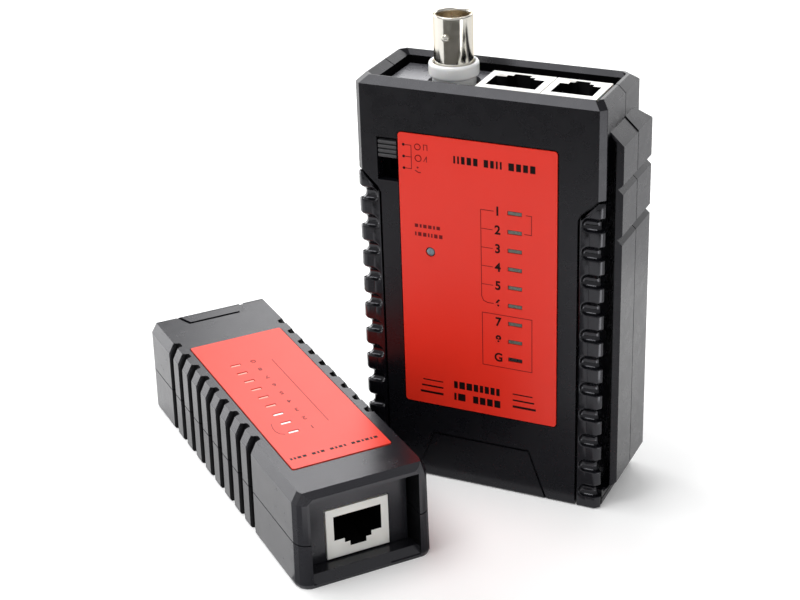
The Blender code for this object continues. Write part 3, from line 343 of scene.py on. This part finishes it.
STRIP_WIDTH = 0.45                       # a face thinner than this belongs to a rounded edge
SLIVER = 0.01                            # faces thinner than this are dissolved
WELD = 0.003                             # corners closer than this are joined
FLAT_TURN = math.radians(0.6)            # faces that turn less than this are joined
ALIKE = 0.35                             # least cosine between normals that blend
EDGE_EASE, CORNER_EASE = 0.22, 0.9       # widths of the eased edges and of the casing's corners


def node_copy(name):
    """A cleaned copy of a CAD node's mesh, with flat faces joined up again."""
    shape = bmesh.new()
    shape.from_mesh(NODES[name].data)
    bmesh.ops.remove_doubles(shape, verts=shape.verts, dist=WELD * MM)
    bmesh.ops.dissolve_limit(shape, angle_limit=FLAT_TURN, verts=shape.verts, edges=shape.edges)
    return shape


def harden(mesh):
    """Keeps flat faces flat and lets the eased strips between them blend from one to the next."""
    marks = []
    for face, item in zip(mesh.polygons, mesh.attributes.get("eased").data):
        spots = [mesh.vertices[index].co for index in face.vertices]
        around = sum((a - b).length for a, b in zip(spots, spots[1:] + spots[:1]))
        marks.append(item.value and face.area <= STRIP_WIDTH * MM * around / 2)
    touching = [[] for _ in mesh.vertices]
    for face in mesh.polygons:
        for index in face.vertices:
            touching[index].append(face.index)
    normals = []
    for face in mesh.polygons:
        own = face.normal.copy()
        for index in face.vertices:
            if not marks[face.index]:
                normals.append(own)
                continue
            flat = [mesh.polygons[k].normal for k in touching[index] if not marks[k]]
            near = [n for n in flat if n.dot(own) > ALIKE]
            if near:
                normals.append(max(near, key=own.dot).copy())
                continue
            total = Vector((0.0, 0.0, 0.0))
            for k in touching[index]:
                if mesh.polygons[k].normal.dot(own) > ALIKE:
                    total += mesh.polygons[k].normal
            normals.append(total.normalized() if total.length > 0.001 else own)
    mesh.shade_smooth()
    mesh.normals_split_custom_set(normals)


def stand_in(name, shape, materials, body, slot, *replaced, smooth=35.0, hard=False):
    """Turns a shape that is already in the CAD frame into a piece that replaces CAD nodes."""
    mesh = mesh_from(name, shape, *materials)
    if hard:
        harden(mesh)
    else:
        mesh.shade_smooth()
        mesh.set_sharp_from_angle(angle=math.radians(smooth))
    made = new_object(name, mesh)
    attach(made, body)
    if replaced:
        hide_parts(*replaced)


def ease(shape, chosen, width, segments):
    """Rounds edges, and marks the new strips."""
    mark = shape.faces.layers.int.get("eased") or shape.faces.layers.int.new("eased")
    made = bmesh.ops.bevel(shape, geom=chosen, offset=width * MM, offset_type='OFFSET', segments=segments,
                           profile=0.5, affect='EDGES', clamp_overlap=True)
    for face in made["faces"]:
        face[mark] = 1


def sharp_edges(shape, least, keep):
    """Convex edges that turn by at least so many degrees and whose ends both pass a test."""
    found = []
    for edge in shape.edges:
        if not edge.is_manifold or edge.calc_length() < 0.5 * MM:
            continue
        if math.degrees(edge.calc_face_angle_signed()) < least:
            continue
        if all(keep(vert.co / MM) for vert in edge.verts):
            found.append(edge)
    return found


SOCKETS = (("socket_8_way", "main_unit"), ("socket_6_way", "main_unit"), ("remote_socket", "remote_unit"))
# margins of a housing that keep the ivory; the faces inside them get painted shade
SOCKET_RIM, SOCKET_WALL, SOCKET_SKIN = 0.8, 0.5, 0.05


def make_sockets():
    """Each housing keeps its light rim; the walls of its mouth get painted shade in matte black."""
    for name, body in SOCKETS:
        shape = node_copy(name)
        to_own = REMOTE.inverted() if body == "remote_unit" else MAIN
        corners = [to_own @ vert.co / MM for vert in shape.verts]
        low = Vector([min(corner[i] for corner in corners) for i in range(3)])
        high = Vector([max(corner[i] for corner in corners) for i in range(3)])
        for face in shape.faces:
            spot = to_own @ face.calc_center_median() / MM
            inside = low.x + SOCKET_RIM < spot.x < high.x - SOCKET_RIM
            if body == "main_unit":
                inside &= low.y + SOCKET_WALL < spot.y < high.y - SOCKET_WALL
                inside &= spot.z < high.z - SOCKET_SKIN
            else:
                inside &= low.y + SOCKET_SKIN < spot.y < high.y - SOCKET_WALL
                inside &= low.z + SOCKET_WALL < spot.z < high.z - SOCKET_WALL
            # painted shade: the walls inside the mouth take the matte black
            face.material_index = int(inside)
        stand_in(name + "_shell", shape, (IVORY, SHADE), body, "ivory_plastic", name)


LATHE_STEPS, LUG_STEPS = 96, 20
LUG_PROFILE = ((0.35, 5.52), (0.68, 5.42), (0.9, 5.2), (0.95, 4.9), (0.95, 4.6))      # radius, reach
LUG_TIP = 5.55                           # reach of a pin's crown from the barrel's axis


def lathe(name, profile, material, slot, *replaced, extra=None):
    """A turned piece round the coaxial socket's axis: (radius, z) points in a closed loop."""
    shape = bmesh.new()
    rings = []
    for k in range(LATHE_STEPS):
        a = 2 * math.pi * k / LATHE_STEPS
        rings.append([shape.verts.new(Vector((BNC_X + r * math.cos(a), BNC_Y + r * math.sin(a), z)) * MM)
                      for r, z in profile])
    for here, after in zip(rings, rings[1:] + rings[:1]):
        for i in range(len(profile)):
            j = (i + 1) % len(profile)
            shape.faces.new((here[i], after[i], after[j], here[j]))
    if extra:
        extra(shape)
    bmesh.ops.recalc_face_normals(shape, faces=shape.faces)
    stand_in(name, shape, (material,), "main_unit", slot, *replaced, smooth=50.0)


def bnc_lugs(shape):
    """Two small domed pins on the barrel, front and back."""
    angles = [2 * math.pi * k / LUG_STEPS for k in range(LUG_STEPS)]
    for side in (-1, 1):
        tip = shape.verts.new(Vector((BNC_X, BNC_Y + side * LUG_TIP, LUG_Z)) * MM)
        rings = []
        for r, reach in LUG_PROFILE:
            rings.append([shape.verts.new(Vector((BNC_X + r * math.cos(a), BNC_Y + side * reach,
                                                  LUG_Z + r * math.sin(a))) * MM) for a in angles])
        for k in range(LUG_STEPS):
            m = (k + 1) % LUG_STEPS
            shape.faces.new((tip, rings[0][k], rings[0][m]))
            for here, after in zip(rings, rings[1:]):
                shape.faces.new((here[k], after[k], after[m], here[m]))
        shape.faces.new(rings[-1])


def make_coax():
    """Plated barrel with its bayonet pins, the warm tone inside it, and the white collar at its foot."""
    outside = [(4.42, 121.0), (4.62, 120.97), (4.76, 120.85), (4.8, 120.65), (4.8, 120.5), (4.8, 109.5),
               (4.8, 91.2)]
    inside = [(2.9, 91.2), (2.9, 100.0), (4.05, 100.2), (4.05, 120.4), (4.12, 120.75), (4.25, 120.95)]
    lathe("coax_barrel", outside + inside, NICKEL, "nickel_plate", "bnc_barrel", extra=bnc_lugs)
    bore = [(4.04, 120.3), (4.0, 120.3), (4.0, 116.5), (4.04, 116.5)]
    lathe("coax_bore", bore, BRASS, "nickel_plate")
    collar = [(5.1, 109.0), (5.25, 109.22), (5.5, 109.3), (5.75, 109.26), (5.95, 109.12), (6.1, 108.88),
              (6.15, 108.6), (6.15, 108.4), (6.15, 106.5), (6.12, 106.2), (6.0, 105.95), (5.75, 105.8),
              (5.4, 105.75), (5.35, 105.6), (5.35, 91.0), (5.1, 91.0)]
    lathe("coax_collar", collar, NYLON, "white_nylon", "bnc_base")


GRIP_INNER, GRIP_FACE, GRIP_SIDE, GRIP_CORNER = 25.85, -13.25, 31.8, 1.15
GRIP_BACK, GRIP_BACK_X = -11.2, 30.2     # where the plan closes behind the face
GRIP_PLAIN = 28.9                        # x where a bowl of no depth would start
NOTCH_TOP, NOTCH_PITCH, NOTCHES = 75.4, 7.22, 11
NOTCH_BOWL = (                           # height above the lip, depth, x of its inner edge
    (-0.3, 0.0, 28.3), (-0.1, 0.01, 28.0), (0.0, 0.06, 27.8), (0.07, 0.25, 27.45), (0.16, 0.5, 27.15),
    (0.3, 0.75, 26.9), (0.5, 0.97, 26.68), (0.75, 1.14, 26.5), (1.05, 1.25, 26.4), (1.4, 1.3, 26.35),
    (1.8, 1.3, 26.35), (2.2, 1.25, 26.42), (2.55, 1.08, 26.58), (2.9, 0.78, 26.85), (3.25, 0.42, 27.25),
    (3.5, 0.14, 27.7), (3.65, 0.02, 28.1), (3.85, 0.0, 28.4))
BOWL_WALL = (                            # distance across from a bowl's inner edge, share of its depth
    (0.0, 0.06), (0.1, 0.3), (0.3, 0.62), (0.6, 0.86), (1.0, 0.97), (1.5, 1.0))
GRIP_SLOPE = (                           # x, height of the grip's upper end there
    (25.0, 77.6), (26.3, 78.0), (26.9, 79.1), (30.2, 82.7), (33.0, 82.7))
GRIP_SETTLE = 0.02                       # share of its distance below the top that a ring keeps from the slope
GRIP_CROWN = ((0.5, 0.0), (0.9, 0.0), (1.0, 0.3))         # rise towards the slope, pull in from the face


def along(table, value):
    """Straight-line reading of a table of (position, amount)."""
    if value <= table[0][0]:
        return table[0][1]
    for (a, p), (b, q) in zip(table, table[1:]):
        if value <= b:
            return p + (q - p) * (value - a) / (b - a)
    return table[-1][1]


def grip_plan(deep, inner):
    """Plan of a grip where a notch is so deep, with a bowl's rounded wall from its inner edge."""
    points = [(GRIP_INNER, GRIP_BACK), (GRIP_INNER, GRIP_FACE + 0.3), (GRIP_INNER + 0.1, GRIP_FACE + 0.08),
              (GRIP_INNER + 0.3, GRIP_FACE), (inner - 0.2, GRIP_FACE), (inner - 0.06, GRIP_FACE + 0.02)]
    points += [(inner + across, GRIP_FACE + deep * share) for across, share in BOWL_WALL]
    corner = GRIP_CORNER - 0.25 * deep
    face, side = GRIP_FACE + deep, GRIP_SIDE - deep
    points += [(side - corner - 0.12, face), (side - corner + 0.1, face + 0.06),
               (side - 0.06, face + corner - 0.1), (side, face + corner + 0.12),
               (side, face + corner + 0.3), (GRIP_BACK_X, GRIP_BACK)]
    return points


def grip_rings():
    """The plan at each height, from the foot up. The top rings close in on the slope of the grip's end."""
    stations = [(0.3, 0.0, GRIP_PLAIN), (0.5, 0.0, GRIP_PLAIN)]
    for i in range(NOTCHES - 1, -1, -1):
        stations += [(NOTCH_TOP - NOTCH_PITCH * i + h, deep, inner) for h, deep, inner in NOTCH_BOWL]
    top = stations[-1][0]
    rings = []
    for z, deep, inner in stations:
        rings.append([(x, y, min(z, along(GRIP_SLOPE, x) - (top - z) * GRIP_SETTLE))
                      for x, y in grip_plan(deep, inner)])
    for rise, pull in GRIP_CROWN:
        ring = []
        for x, y in grip_plan(0.0, GRIP_PLAIN):
            end = along(GRIP_SLOPE, x)
            z = max(min(top, end), top + (end - top) * rise)
            on_side, on_face = x > GRIP_SIDE - 0.8, y < GRIP_FACE + 0.25
            ring.append((x - pull * 0.6 * on_side, y + pull * on_face, z))
        rings.append(ring)
    return rings


def make_grips():
    """Corner grips: a flat face with a chamfered corner, and eleven sharp-lipped bowls scooped from it."""
    for side, name in ((-1, "grip_left"), (1, "grip_right")):
        shape = bmesh.new()
        loops = [[shape.verts.new(Vector((side * x, y, z)) * MM) for x, y, z in ring]
                 for ring in grip_rings()]
        for low, high in zip(loops, loops[1:]):
            for i in range(len(low)):
                j = (i + 1) % len(low)
                shape.faces.new((low[i], low[j], high[j], high[i]))
        shape.faces.new(loops[0][::-1])
        shape.faces.new(loops[-1])
        bmesh.ops.recalc_face_normals(shape, faces=shape.faces)
        stand_in(name + "_insert", shape, (SOFT,), "main_unit", "soft_black", name, smooth=42.0)


KNOB_BACK, KNOB_FLOOR, KNOB_FOOT, KNOB_TOP = -9.7, -12.85, 87.2, 91.9
KNOB_SIDES = (-25.75, -20.95)
KNOB_RIBS, KNOB_RIB_PITCH, KNOB_RIB_GAP = 4, 1.165, 1.12
KNOB_RIB = (                             # y, height in the rib
    (-13.05, 0.05), (-13.25, 0.2), (-13.32, 0.75), (-13.2, 0.92), (-12.85, 1.0))


def make_knob():
    """Slide knob with four broad ribs, each tipped a little so that it catches the light."""
    profile = [(KNOB_BACK, KNOB_FOOT), (KNOB_FLOOR, KNOB_FOOT)]
    for i in range(KNOB_RIBS):
        foot = KNOB_FOOT + 0.05 + KNOB_RIB_PITCH * i
        profile += [(y, foot + height) for y, height in KNOB_RIB]
        if i < KNOB_RIBS - 1:
            profile.append((KNOB_FLOOR, foot + KNOB_RIB_GAP))
    profile += [(KNOB_FLOOR + 0.25, KNOB_TOP), (KNOB_BACK, KNOB_TOP)]
    shape = bmesh.new()
    sides = [[shape.verts.new(Vector((x, y, z)) * MM) for y, z in profile] for x in KNOB_SIDES]
    for i in range(len(profile)):
        j = (i + 1) % len(profile)
        shape.faces.new((sides[0][i], sides[0][j], sides[1][j], sides[1][i]))
    shape.faces.new(sides[0])
    shape.faces.new(sides[1][::-1])
    bmesh.ops.recalc_face_normals(shape, faces=shape.faces)
    stand_in("slide_knob", shape, (KNOB,), "knob", "soft_black", "switch_knob", smooth=30.0)


SKIN_X, SKIN_Y, SKIN_FOOT, SKIN_TOP = 29.5, 11.7, 1.9, 102.5           # the casing's skin lies beyond these
R_SKIN_FOOT, R_SKIN_TOP, R_SKIN_Y0, R_SKIN_Y1 = 1.2, 24.2, 0.3, 103.2    # the same for the remote
RECESS_X0, RECESS_X1, RECESS_Y0, RECESS_Y1 = -27.8, 29.4, -11.0, 10.0    # hollow in the top rim
RECESS_Z0, RECESS_Z1 = 100.0, 105.9
CORNER_X0, CORNER_X1, CORNER_Y = 29.0, 32.0, 10.9                        # where the casing's corners stand
STEEP, PLUMB, TALL = 0.3, 0.05, 2.0      # a wall's greatest normal z, a corner's drift and least height


def outside_main(spot):
    """True on the casing's outer skin."""
    return abs(spot.x) > SKIN_X or abs(spot.y) > SKIN_Y or spot.z > SKIN_TOP or spot.z < SKIN_FOOT


def recess_wall(face):
    """True for the walls of the hollow in the top rim, round the connector plate, which get painted shade."""
    spot = face.calc_center_median() / MM
    upright = abs(face.normal.z) < STEEP and RECESS_Z0 < spot.z < RECESS_Z1
    return upright and RECESS_X0 < spot.x < RECESS_X1 and RECESS_Y0 < spot.y < RECESS_Y1


def upright_corner(edge):
    """True for the four corners of the casing."""
    a, b = (vert.co / MM for vert in edge.verts)
    upright = abs(a.z - b.z) > TALL and abs(a.x - b.x) < PLUMB and abs(a.y - b.y) < PLUMB
    return upright and CORNER_X0 < abs(a.x) < CORNER_X1 and CORNER_Y < abs(a.y)


def make_shells():
    """The casing with its moulded corners and edges eased, and painted shade on the walls of the hollow in its
    top rim.
    """
    for name in ("front_shell", "rear_shell"):
        shape = node_copy(name)
        shape.faces.layers.int.new("eased")
        corners = [edge for edge in sharp_edges(shape, 20.0, outside_main) if upright_corner(edge)]
        ease(shape, corners, CORNER_EASE, 4)
        ease(shape, sharp_edges(shape, 18.0, outside_main), EDGE_EASE, 2)
        bmesh.ops.dissolve_degenerate(shape, dist=SLIVER * MM, edges=shape.edges)
        # painted shade: the walls of the hollow round the connector plate take the matte black
        for face in shape.faces:
            if recess_wall(face):
                face.material_index = 1
        stand_in(name + "_cover", shape, (BLACK, SHADE), "main_unit", "black_plastic", name, hard=True)


def in_remote(spot):
    """A point of the CAD frame in the remote's own frame."""
    return REMOTE.inverted() @ (spot * MM) / MM


def outside_remote(spot):
    """True on the remote's outer skin and in its side grooves."""
    own = in_remote(spot)
    return (abs(own.x) > R_GROOVE_END or own.z > R_SKIN_TOP or own.z < R_SKIN_FOOT
            or own.y > R_SKIN_Y1 or own.y < R_SKIN_Y0)


def in_groove(spot):
    """True in the remote's side grooves, which get painted shade."""
    own = in_remote(spot)
    near = round((own.y - R_GROOVE_Y0) / R_GROOVE_PITCH)
    off = abs(own.y - R_GROOVE_Y0 - near * R_GROOVE_PITCH)
    beside = 0 <= near < R_GROOVES and off < R_GROOVE_HALF
    return beside and abs(own.x) > R_GROOVE_END and own.z > R_GROOVE_FOOT


def make_remote_shells():
    """The remote's halves with their edges eased and painted shade in their grooves."""
    for name in ("remote_upper_shell", "remote_lower_shell"):
        shape = node_copy(name)
        shape.faces.layers.int.new("eased")
        ease(shape, sharp_edges(shape, 15.0, outside_remote), EDGE_EASE, 2)
        bmesh.ops.dissolve_degenerate(shape, dist=SLIVER * MM, edges=shape.edges)
        # painted shade in the grooves
        for face in shape.faces:
            face.material_index = int(in_groove(face.calc_center_median() / MM))
        stand_in(name + "_cover", shape, (BLACK_REMOTE_LIT, GROOVE_SHADE), "remote_unit", "black_plastic", name,
                 hard=True)


# ---------------------------------------------------------------- printed faceplate of the main unit

FINE, LINE = 0.14, 0.16                  # widths of printed lines
FIGURE_X, FIGURE_HEIGHT = 5.25, 2.25
R_FIGURE_X, R_FIGURE_HEIGHT = -0.85, 1.5
BRACKET_X = 0.95
BOX_LEFT, BOX_RIGHT, BOX_LOW, BOX_HIGH = 1.05, 14.05, 35.7, 50.1
SWITCH_ROWS = (91.4, 88.4, 85.4)         # heights of the knob's three positions
LINK_LEFT, LINK_RIGHT = -18.4, -16.9


def row_z(i):
    """Height of a light in the main unit's row."""
    return ROW_TOP_Z - ROW_PITCH * i


def block_word(u0, v, widths, height, gap):
    """A line of plain blocks in place of words. A width below 0 is a space."""
    outlines, u = [], u0
    for width in widths:
        if width > 0:
            outlines.append(bar_points(u, u + width, v - height / 2, v + height / 2))
        u += abs(width) + gap
    return outlines


def ring_strokes(u, v, radius, width, count=20):
    """A printed ring, as short strokes."""
    spots = [(u + radius * math.cos(2 * math.pi * k / count), v + radius * math.sin(2 * math.pi * k / count))
             for k in range(count)]
    return polyline(spots + spots[:1], width)


def print_rows():
    """Figures beside the lights, and the lines that group them."""
    for i in range(ROWS):
        numeral(f"print_figure_{i + 1}", FIGURES[i], FIGURE_X, row_z(i), FIGURE_HEIGHT, INK, "main_unit",
                face_space, weight=0.09, stretch=0.95)
    bracket = [(4.2, row_z(0)), (BRACKET_X, row_z(0)), (BRACKET_X, row_z(5) + 1.6), (1.4, row_z(5) + 0.45),
               (2.5, row_z(5)), (4.0, row_z(5))]
    lines = polyline(bracket, LINE)
    for i in range(1, 5):
        lines += polyline([(BRACKET_X, row_z(i)), (3.9, row_z(i))], FINE)
    lines += polyline([(12.6, row_z(0)), (13.95, row_z(0)), (13.95, row_z(1)), (12.2, row_z(1))], LINE)
    box = bar_points(BOX_LEFT, BOX_RIGHT, BOX_LOW, BOX_HIGH)
    lines += polyline(box + box[:1], LINE)
    printed("print_brackets", lines, FINE_INK, "main_unit", face_space)


def print_blocks():
    """Plain blocks and bars where the label has words."""
    title = block_word(-5.9, 89.2, [0.45, 0.45, 0.9, 1.1, 1.1, -0.5, 1.1, 0.9, 0.45, 0.45, -0.6, 1.4, 1.2,
                                    1.2, 1.3], 1.9, 0.55)
    printed("print_title_blocks", title, INK, "main_unit", face_space)
    small = block_word(-16.5, 70.7, [0.9, 0.5, 0.9, 0.9, 0.5, 0.9], 0.9, 0.42)
    small += block_word(-16.5, 68.5, [0.4, 0.9, 0.9, 0.4, 0.4, 0.9, 0.9], 1.0, 0.42)
    printed("print_small_blocks", small, FINE_INK, "main_unit", face_space)
    foot = block_word(-6.9, 28.4, [1.0, 1.5, 1.5, 1.2, 0.9, 1.1, 1.1, 0.9], 2.0, 0.45)
    foot += block_word(-6.9, 25.0, [0.6, 2.0, -1.2, 1.4, 1.5, 1.5, 1.6], 2.0, 0.45)
    printed("print_foot_blocks", foot, INK, "main_unit", face_space)
    bars = []
    for i, (z, height) in enumerate(((28.4, 0.3), (26.7, 0.42), (24.9, 0.6))):
        low, high = z - height / 2, z + height / 2
        bars.append(bar_points(-15.4 - 0.4 * i, -9.9, low, high))
        bars.append(bar_points(8.95, 14.2 + 0.45 * i, low + 0.35, high + 0.35))
    printed("print_foot_bars", bars, INK, "main_unit", face_space)


def print_switch_legend():
    """A dot for each position of the knob, the lines that join them, and three plain marks."""
    top, middle, low = SWITCH_ROWS
    dots = [disc_points(-18.9, z, 0.36) for z in SWITCH_ROWS]
    printed("print_switch_dots", dots, INK, "main_unit", face_space)
    link = polyline([(LINK_LEFT, top), (LINK_RIGHT, top), (LINK_RIGHT, low), (LINK_LEFT, low)], LINE)
    link += polyline([(LINK_LEFT, middle), (LINK_RIGHT, middle)], LINE)
    printed("print_switch_links", link, FINE_INK, "main_unit", face_space)
    marks = ring_strokes(-15.2, top - 0.2, 0.75, 0.18) + ring_strokes(-15.1, middle - 0.1, 0.8, 0.18)
    marks += polyline([(-13.6, 90.6), (-13.6, 91.9), (-12.7, 91.9), (-12.7, 90.6)], 0.17)
    marks += polyline([(-13.6, 87.7), (-12.9, 88.9), (-12.9, 87.6)], 0.17)
    marks += polyline([(-15.9, 85.1), (-15.2, 84.7), (-14.6, 84.7)], 0.2)
    marks.append(disc_points(-15.3, low + 0.5, 0.24))
    printed("print_switch_marks", marks, FINE_INK, "main_unit", face_space)


# ---------------------------------------------------------------- printed label of the remote

def print_remote_label():
    """Figures turned to be read from the far side, two fine lines and a row of blocks."""
    for i in range(ROWS):
        numeral(f"remote_figure_{i + 1}", FIGURES[i], R_FIGURE_X, R_ROW_Y0 + R_ROW_PITCH * i,
                R_FIGURE_HEIGHT, FINE_INK, "remote_unit", remote_space, REMOTE, turned=math.pi, weight=0.02)
    lines = polyline([(3.95, 29.8), (3.95, 67.1)], FINE)
    lines += polyline([(-9.3, 34.8), (-9.75, 32.8), (-9.8, 31.1), (-9.3, 29.4), (-8.2, 28.5)], FINE)
    printed("remote_print_lines", lines, FINE_INK, "remote_unit", remote_space, REMOTE)
    words = block_word(-11.7, 16.7, [0.5, 0.5, 0.9, 0.9, -0.6, 0.9, 0.5, 0.9, -0.6, 0.9, 0.5, 0.9, 0.5, -0.6,
                                     0.9, 0.9, 0.5, 0.9, 0.5, 0.9], 0.9, 0.45)
    printed("remote_print_blocks", words, INK, "remote_unit", remote_space, REMOTE)


# ---------------------------------------------------------------- camera, light and floor

WHITE = (1.0, 1.0, 1.0, 1.0)
WORLD_FRONT, WORLD_BACK = 0.60, 0.36     # strength of the room's light before and behind the object
WORLD_BLEND = 0.6                        # how far to either side the one fades into the other
FLOOR_RADIUS, FLOOR_GLOW = 3.0, 0.12
CARD_GLOW, CARD_PALE_GLOW = 4.2, 0.45
SHEET_Z = 1.0                            # height of the sheets on the floor
LENS_MM, SENSOR_MM = 80.74, 36.0
CAMERA_SPOT = (0.15312, -0.37966, 0.24341)
CAMERA_YAW, CAMERA_PITCH, CAMERA_ROLL = 25.4565, 25.5459, -1.997
LIGHTS = (                               # name, place, aim, width, height (metres), power (watts)
    ("overhead", (-0.28, -0.18, 0.85), (0.0, 0.0, 0.05), 0.6, 0.5, 4.7),
    ("back", (-0.1, 1.0, 0.45), (0.0, 0.0, 0.05), 1.15, 0.6, 4.6),
    ("high_back", (-0.40, 0.70, 0.78), (0.0, 0.0, 0.05), 0.50, 0.14, 2.6),
    ("left", (-0.9, 0.4, 0.42), (0.0, 0.0, 0.03), 0.5, 0.4, 4.0),
    ("low_left", (-0.9, 0.08, 0.12), (0.0, 0.0, 0.03), 0.5, 0.22, 1.3),
)


def place_camera():
    """Camera in front of the main unit, a little to its right and looking down, rolled slightly."""
    yaw, pitch, roll = (math.radians(angle) for angle in (CAMERA_YAW, CAMERA_PITCH, CAMERA_ROLL))
    forward = Vector((-math.sin(yaw) * math.cos(pitch), math.cos(yaw) * math.cos(pitch), -math.sin(pitch)))
    right = Vector((math.cos(yaw), math.sin(yaw), 0.0))
    up = right.cross(forward)
    side = math.cos(roll) * right + math.sin(roll) * up
    top = -math.sin(roll) * right + math.cos(roll) * up
    turn = Matrix((side, top, -forward)).transposed().to_4x4()
    data = bpy.data.cameras.new("camera")
    data.sensor_width = SENSOR_MM
    data.lens = LENS_MM
    data.clip_start = 0.01
    camera = bpy.data.objects.new("camera", data)
    camera.matrix_world = Matrix.Translation(CAMERA_SPOT) @ turn
    bpy.context.scene.collection.objects.link(camera)
    bpy.context.scene.camera = camera


def area_light(name, spot, target, width, height, power):
    """A soft rectangular light, turned towards its target."""
    data = bpy.data.lights.new(name, 'AREA')
    data.shape = 'RECTANGLE'
    data.size, data.size_y = width, height
    data.energy = power
    light = bpy.data.objects.new(name, data)
    aim = (Vector(target) - Vector(spot)).to_track_quat('-Z', 'Y')
    light.matrix_world = Matrix.Translation(spot) @ aim.to_matrix().to_4x4()
    bpy.context.scene.collection.objects.link(light)


def make_room():
    """An even white room, brighter in front of the object than behind it."""
    world = bpy.data.worlds.new("studio")
    world.use_nodes = True
    nodes, links = world.node_tree.nodes, world.node_tree.links
    place = nodes.new("ShaderNodeTexCoord")
    parts = nodes.new("ShaderNodeSeparateXYZ")
    links.new(place.outputs["Generated"], parts.inputs["Vector"])
    ramp = nodes.new("ShaderNodeMapRange")
    ramp.inputs["From Min"].default_value = -WORLD_BLEND
    ramp.inputs["From Max"].default_value = WORLD_BLEND
    ramp.inputs["To Min"].default_value = WORLD_FRONT
    ramp.inputs["To Max"].default_value = WORLD_BACK
    links.new(parts.outputs["Y"], ramp.inputs["Value"])
    links.new(ramp.outputs["Result"], nodes["Background"].inputs["Strength"])
    nodes["Background"].inputs["Color"].default_value = WHITE
    bpy.context.scene.world = world


def glow(material, strength):
    """Gives a material of the studio an even white glow."""
    shader = material.node_tree.nodes["Principled BSDF"]
    shader.inputs["Emission Color"].default_value = WHITE
    shader.inputs["Emission Strength"].default_value = strength


def ring_sector(start, end, inner_r, outer_r, steps=24):
    """Plan of a part of a ring round the coaxial socket, in millimetres."""
    angles = [math.radians(start + (end - start) * k / steps) for k in range(steps + 1)]
    return ([(BNC_X + inner_r * math.cos(a), inner_r * math.sin(a)) for a in angles]
            + [(BNC_X + outer_r * math.cos(a), outer_r * math.sin(a)) for a in reversed(angles)])


def reflector(name, material, plan):
    """A sheet on the floor which only glossy surfaces show."""
    shape = bmesh.new()
    shape.faces.new([shape.verts.new(Vector((x, y, SHEET_Z)) * MM) for x, y in plan])
    sheet = new_object(name, mesh_from(name, shape, material))
    sheet.visible_camera = False
    sheet.visible_diffuse = False
    sheet.visible_shadow = False


def make_studio():
    """Pale floor, the dark and bright sheets that the glossy black shows, the room and its lights."""
    shape = bmesh.new()
    bmesh.ops.create_circle(shape, cap_ends=True, segments=64, radius=FLOOR_RADIUS)
    new_object("floor", mesh_from("floor", shape, FLOOR))
    glow(FLOOR, FLOOR_GLOW)
    glow(CARD, CARD_GLOW)
    glow(CARD_PALE, CARD_PALE_GLOW)
    reflector("flag", FLAG, ring_sector(-126.0, -28.0, 216.0, 500.0))
    reflector("flag_face", FLAG_MIDDLE, ((4.0, -70.0), (-41.0, -164.0), (-110.0, -164.0), (-65.0, -70.0)))
    # Painted shadow: a mid-grey sheet at the object's foot, which the glossy black reflects in place of the
    # shaded table.
    reflector("foot_shadow_sheet", FLAG_MIDDLE, ((32.0, -16.0), (12.0, -60.0), (-5.0, -56.0), (-32.0, -30.0),
                                         (-32.0, -16.0)))
    reflector("flag_side", FLAG_PALE, ring_sector(50.0, 80.0, 150.0, 330.0))
    reflector("card_right", CARD, ring_sector(-27.0, -12.0, 100.0, 400.0))
    reflector("card_end", CARD_PALE, ((8.0, -62.0), (70.0, -62.0), (70.0, -95.0), (8.0, -95.0)))
    make_room()
    for light in LIGHTS:
        area_light(*light)
    bpy.context.scene.view_settings.view_transform = 'Standard'


def main():
    dress_nodes()
    make_shells()
    make_remote_shells()
    make_grips()
    make_knob()
    make_sockets()
    make_coax()
    print_rows()
    print_blocks()
    print_switch_legend()
    print_remote_label()
    make_studio()
    place_camera()


main()
bpy.context.view_layer.update()
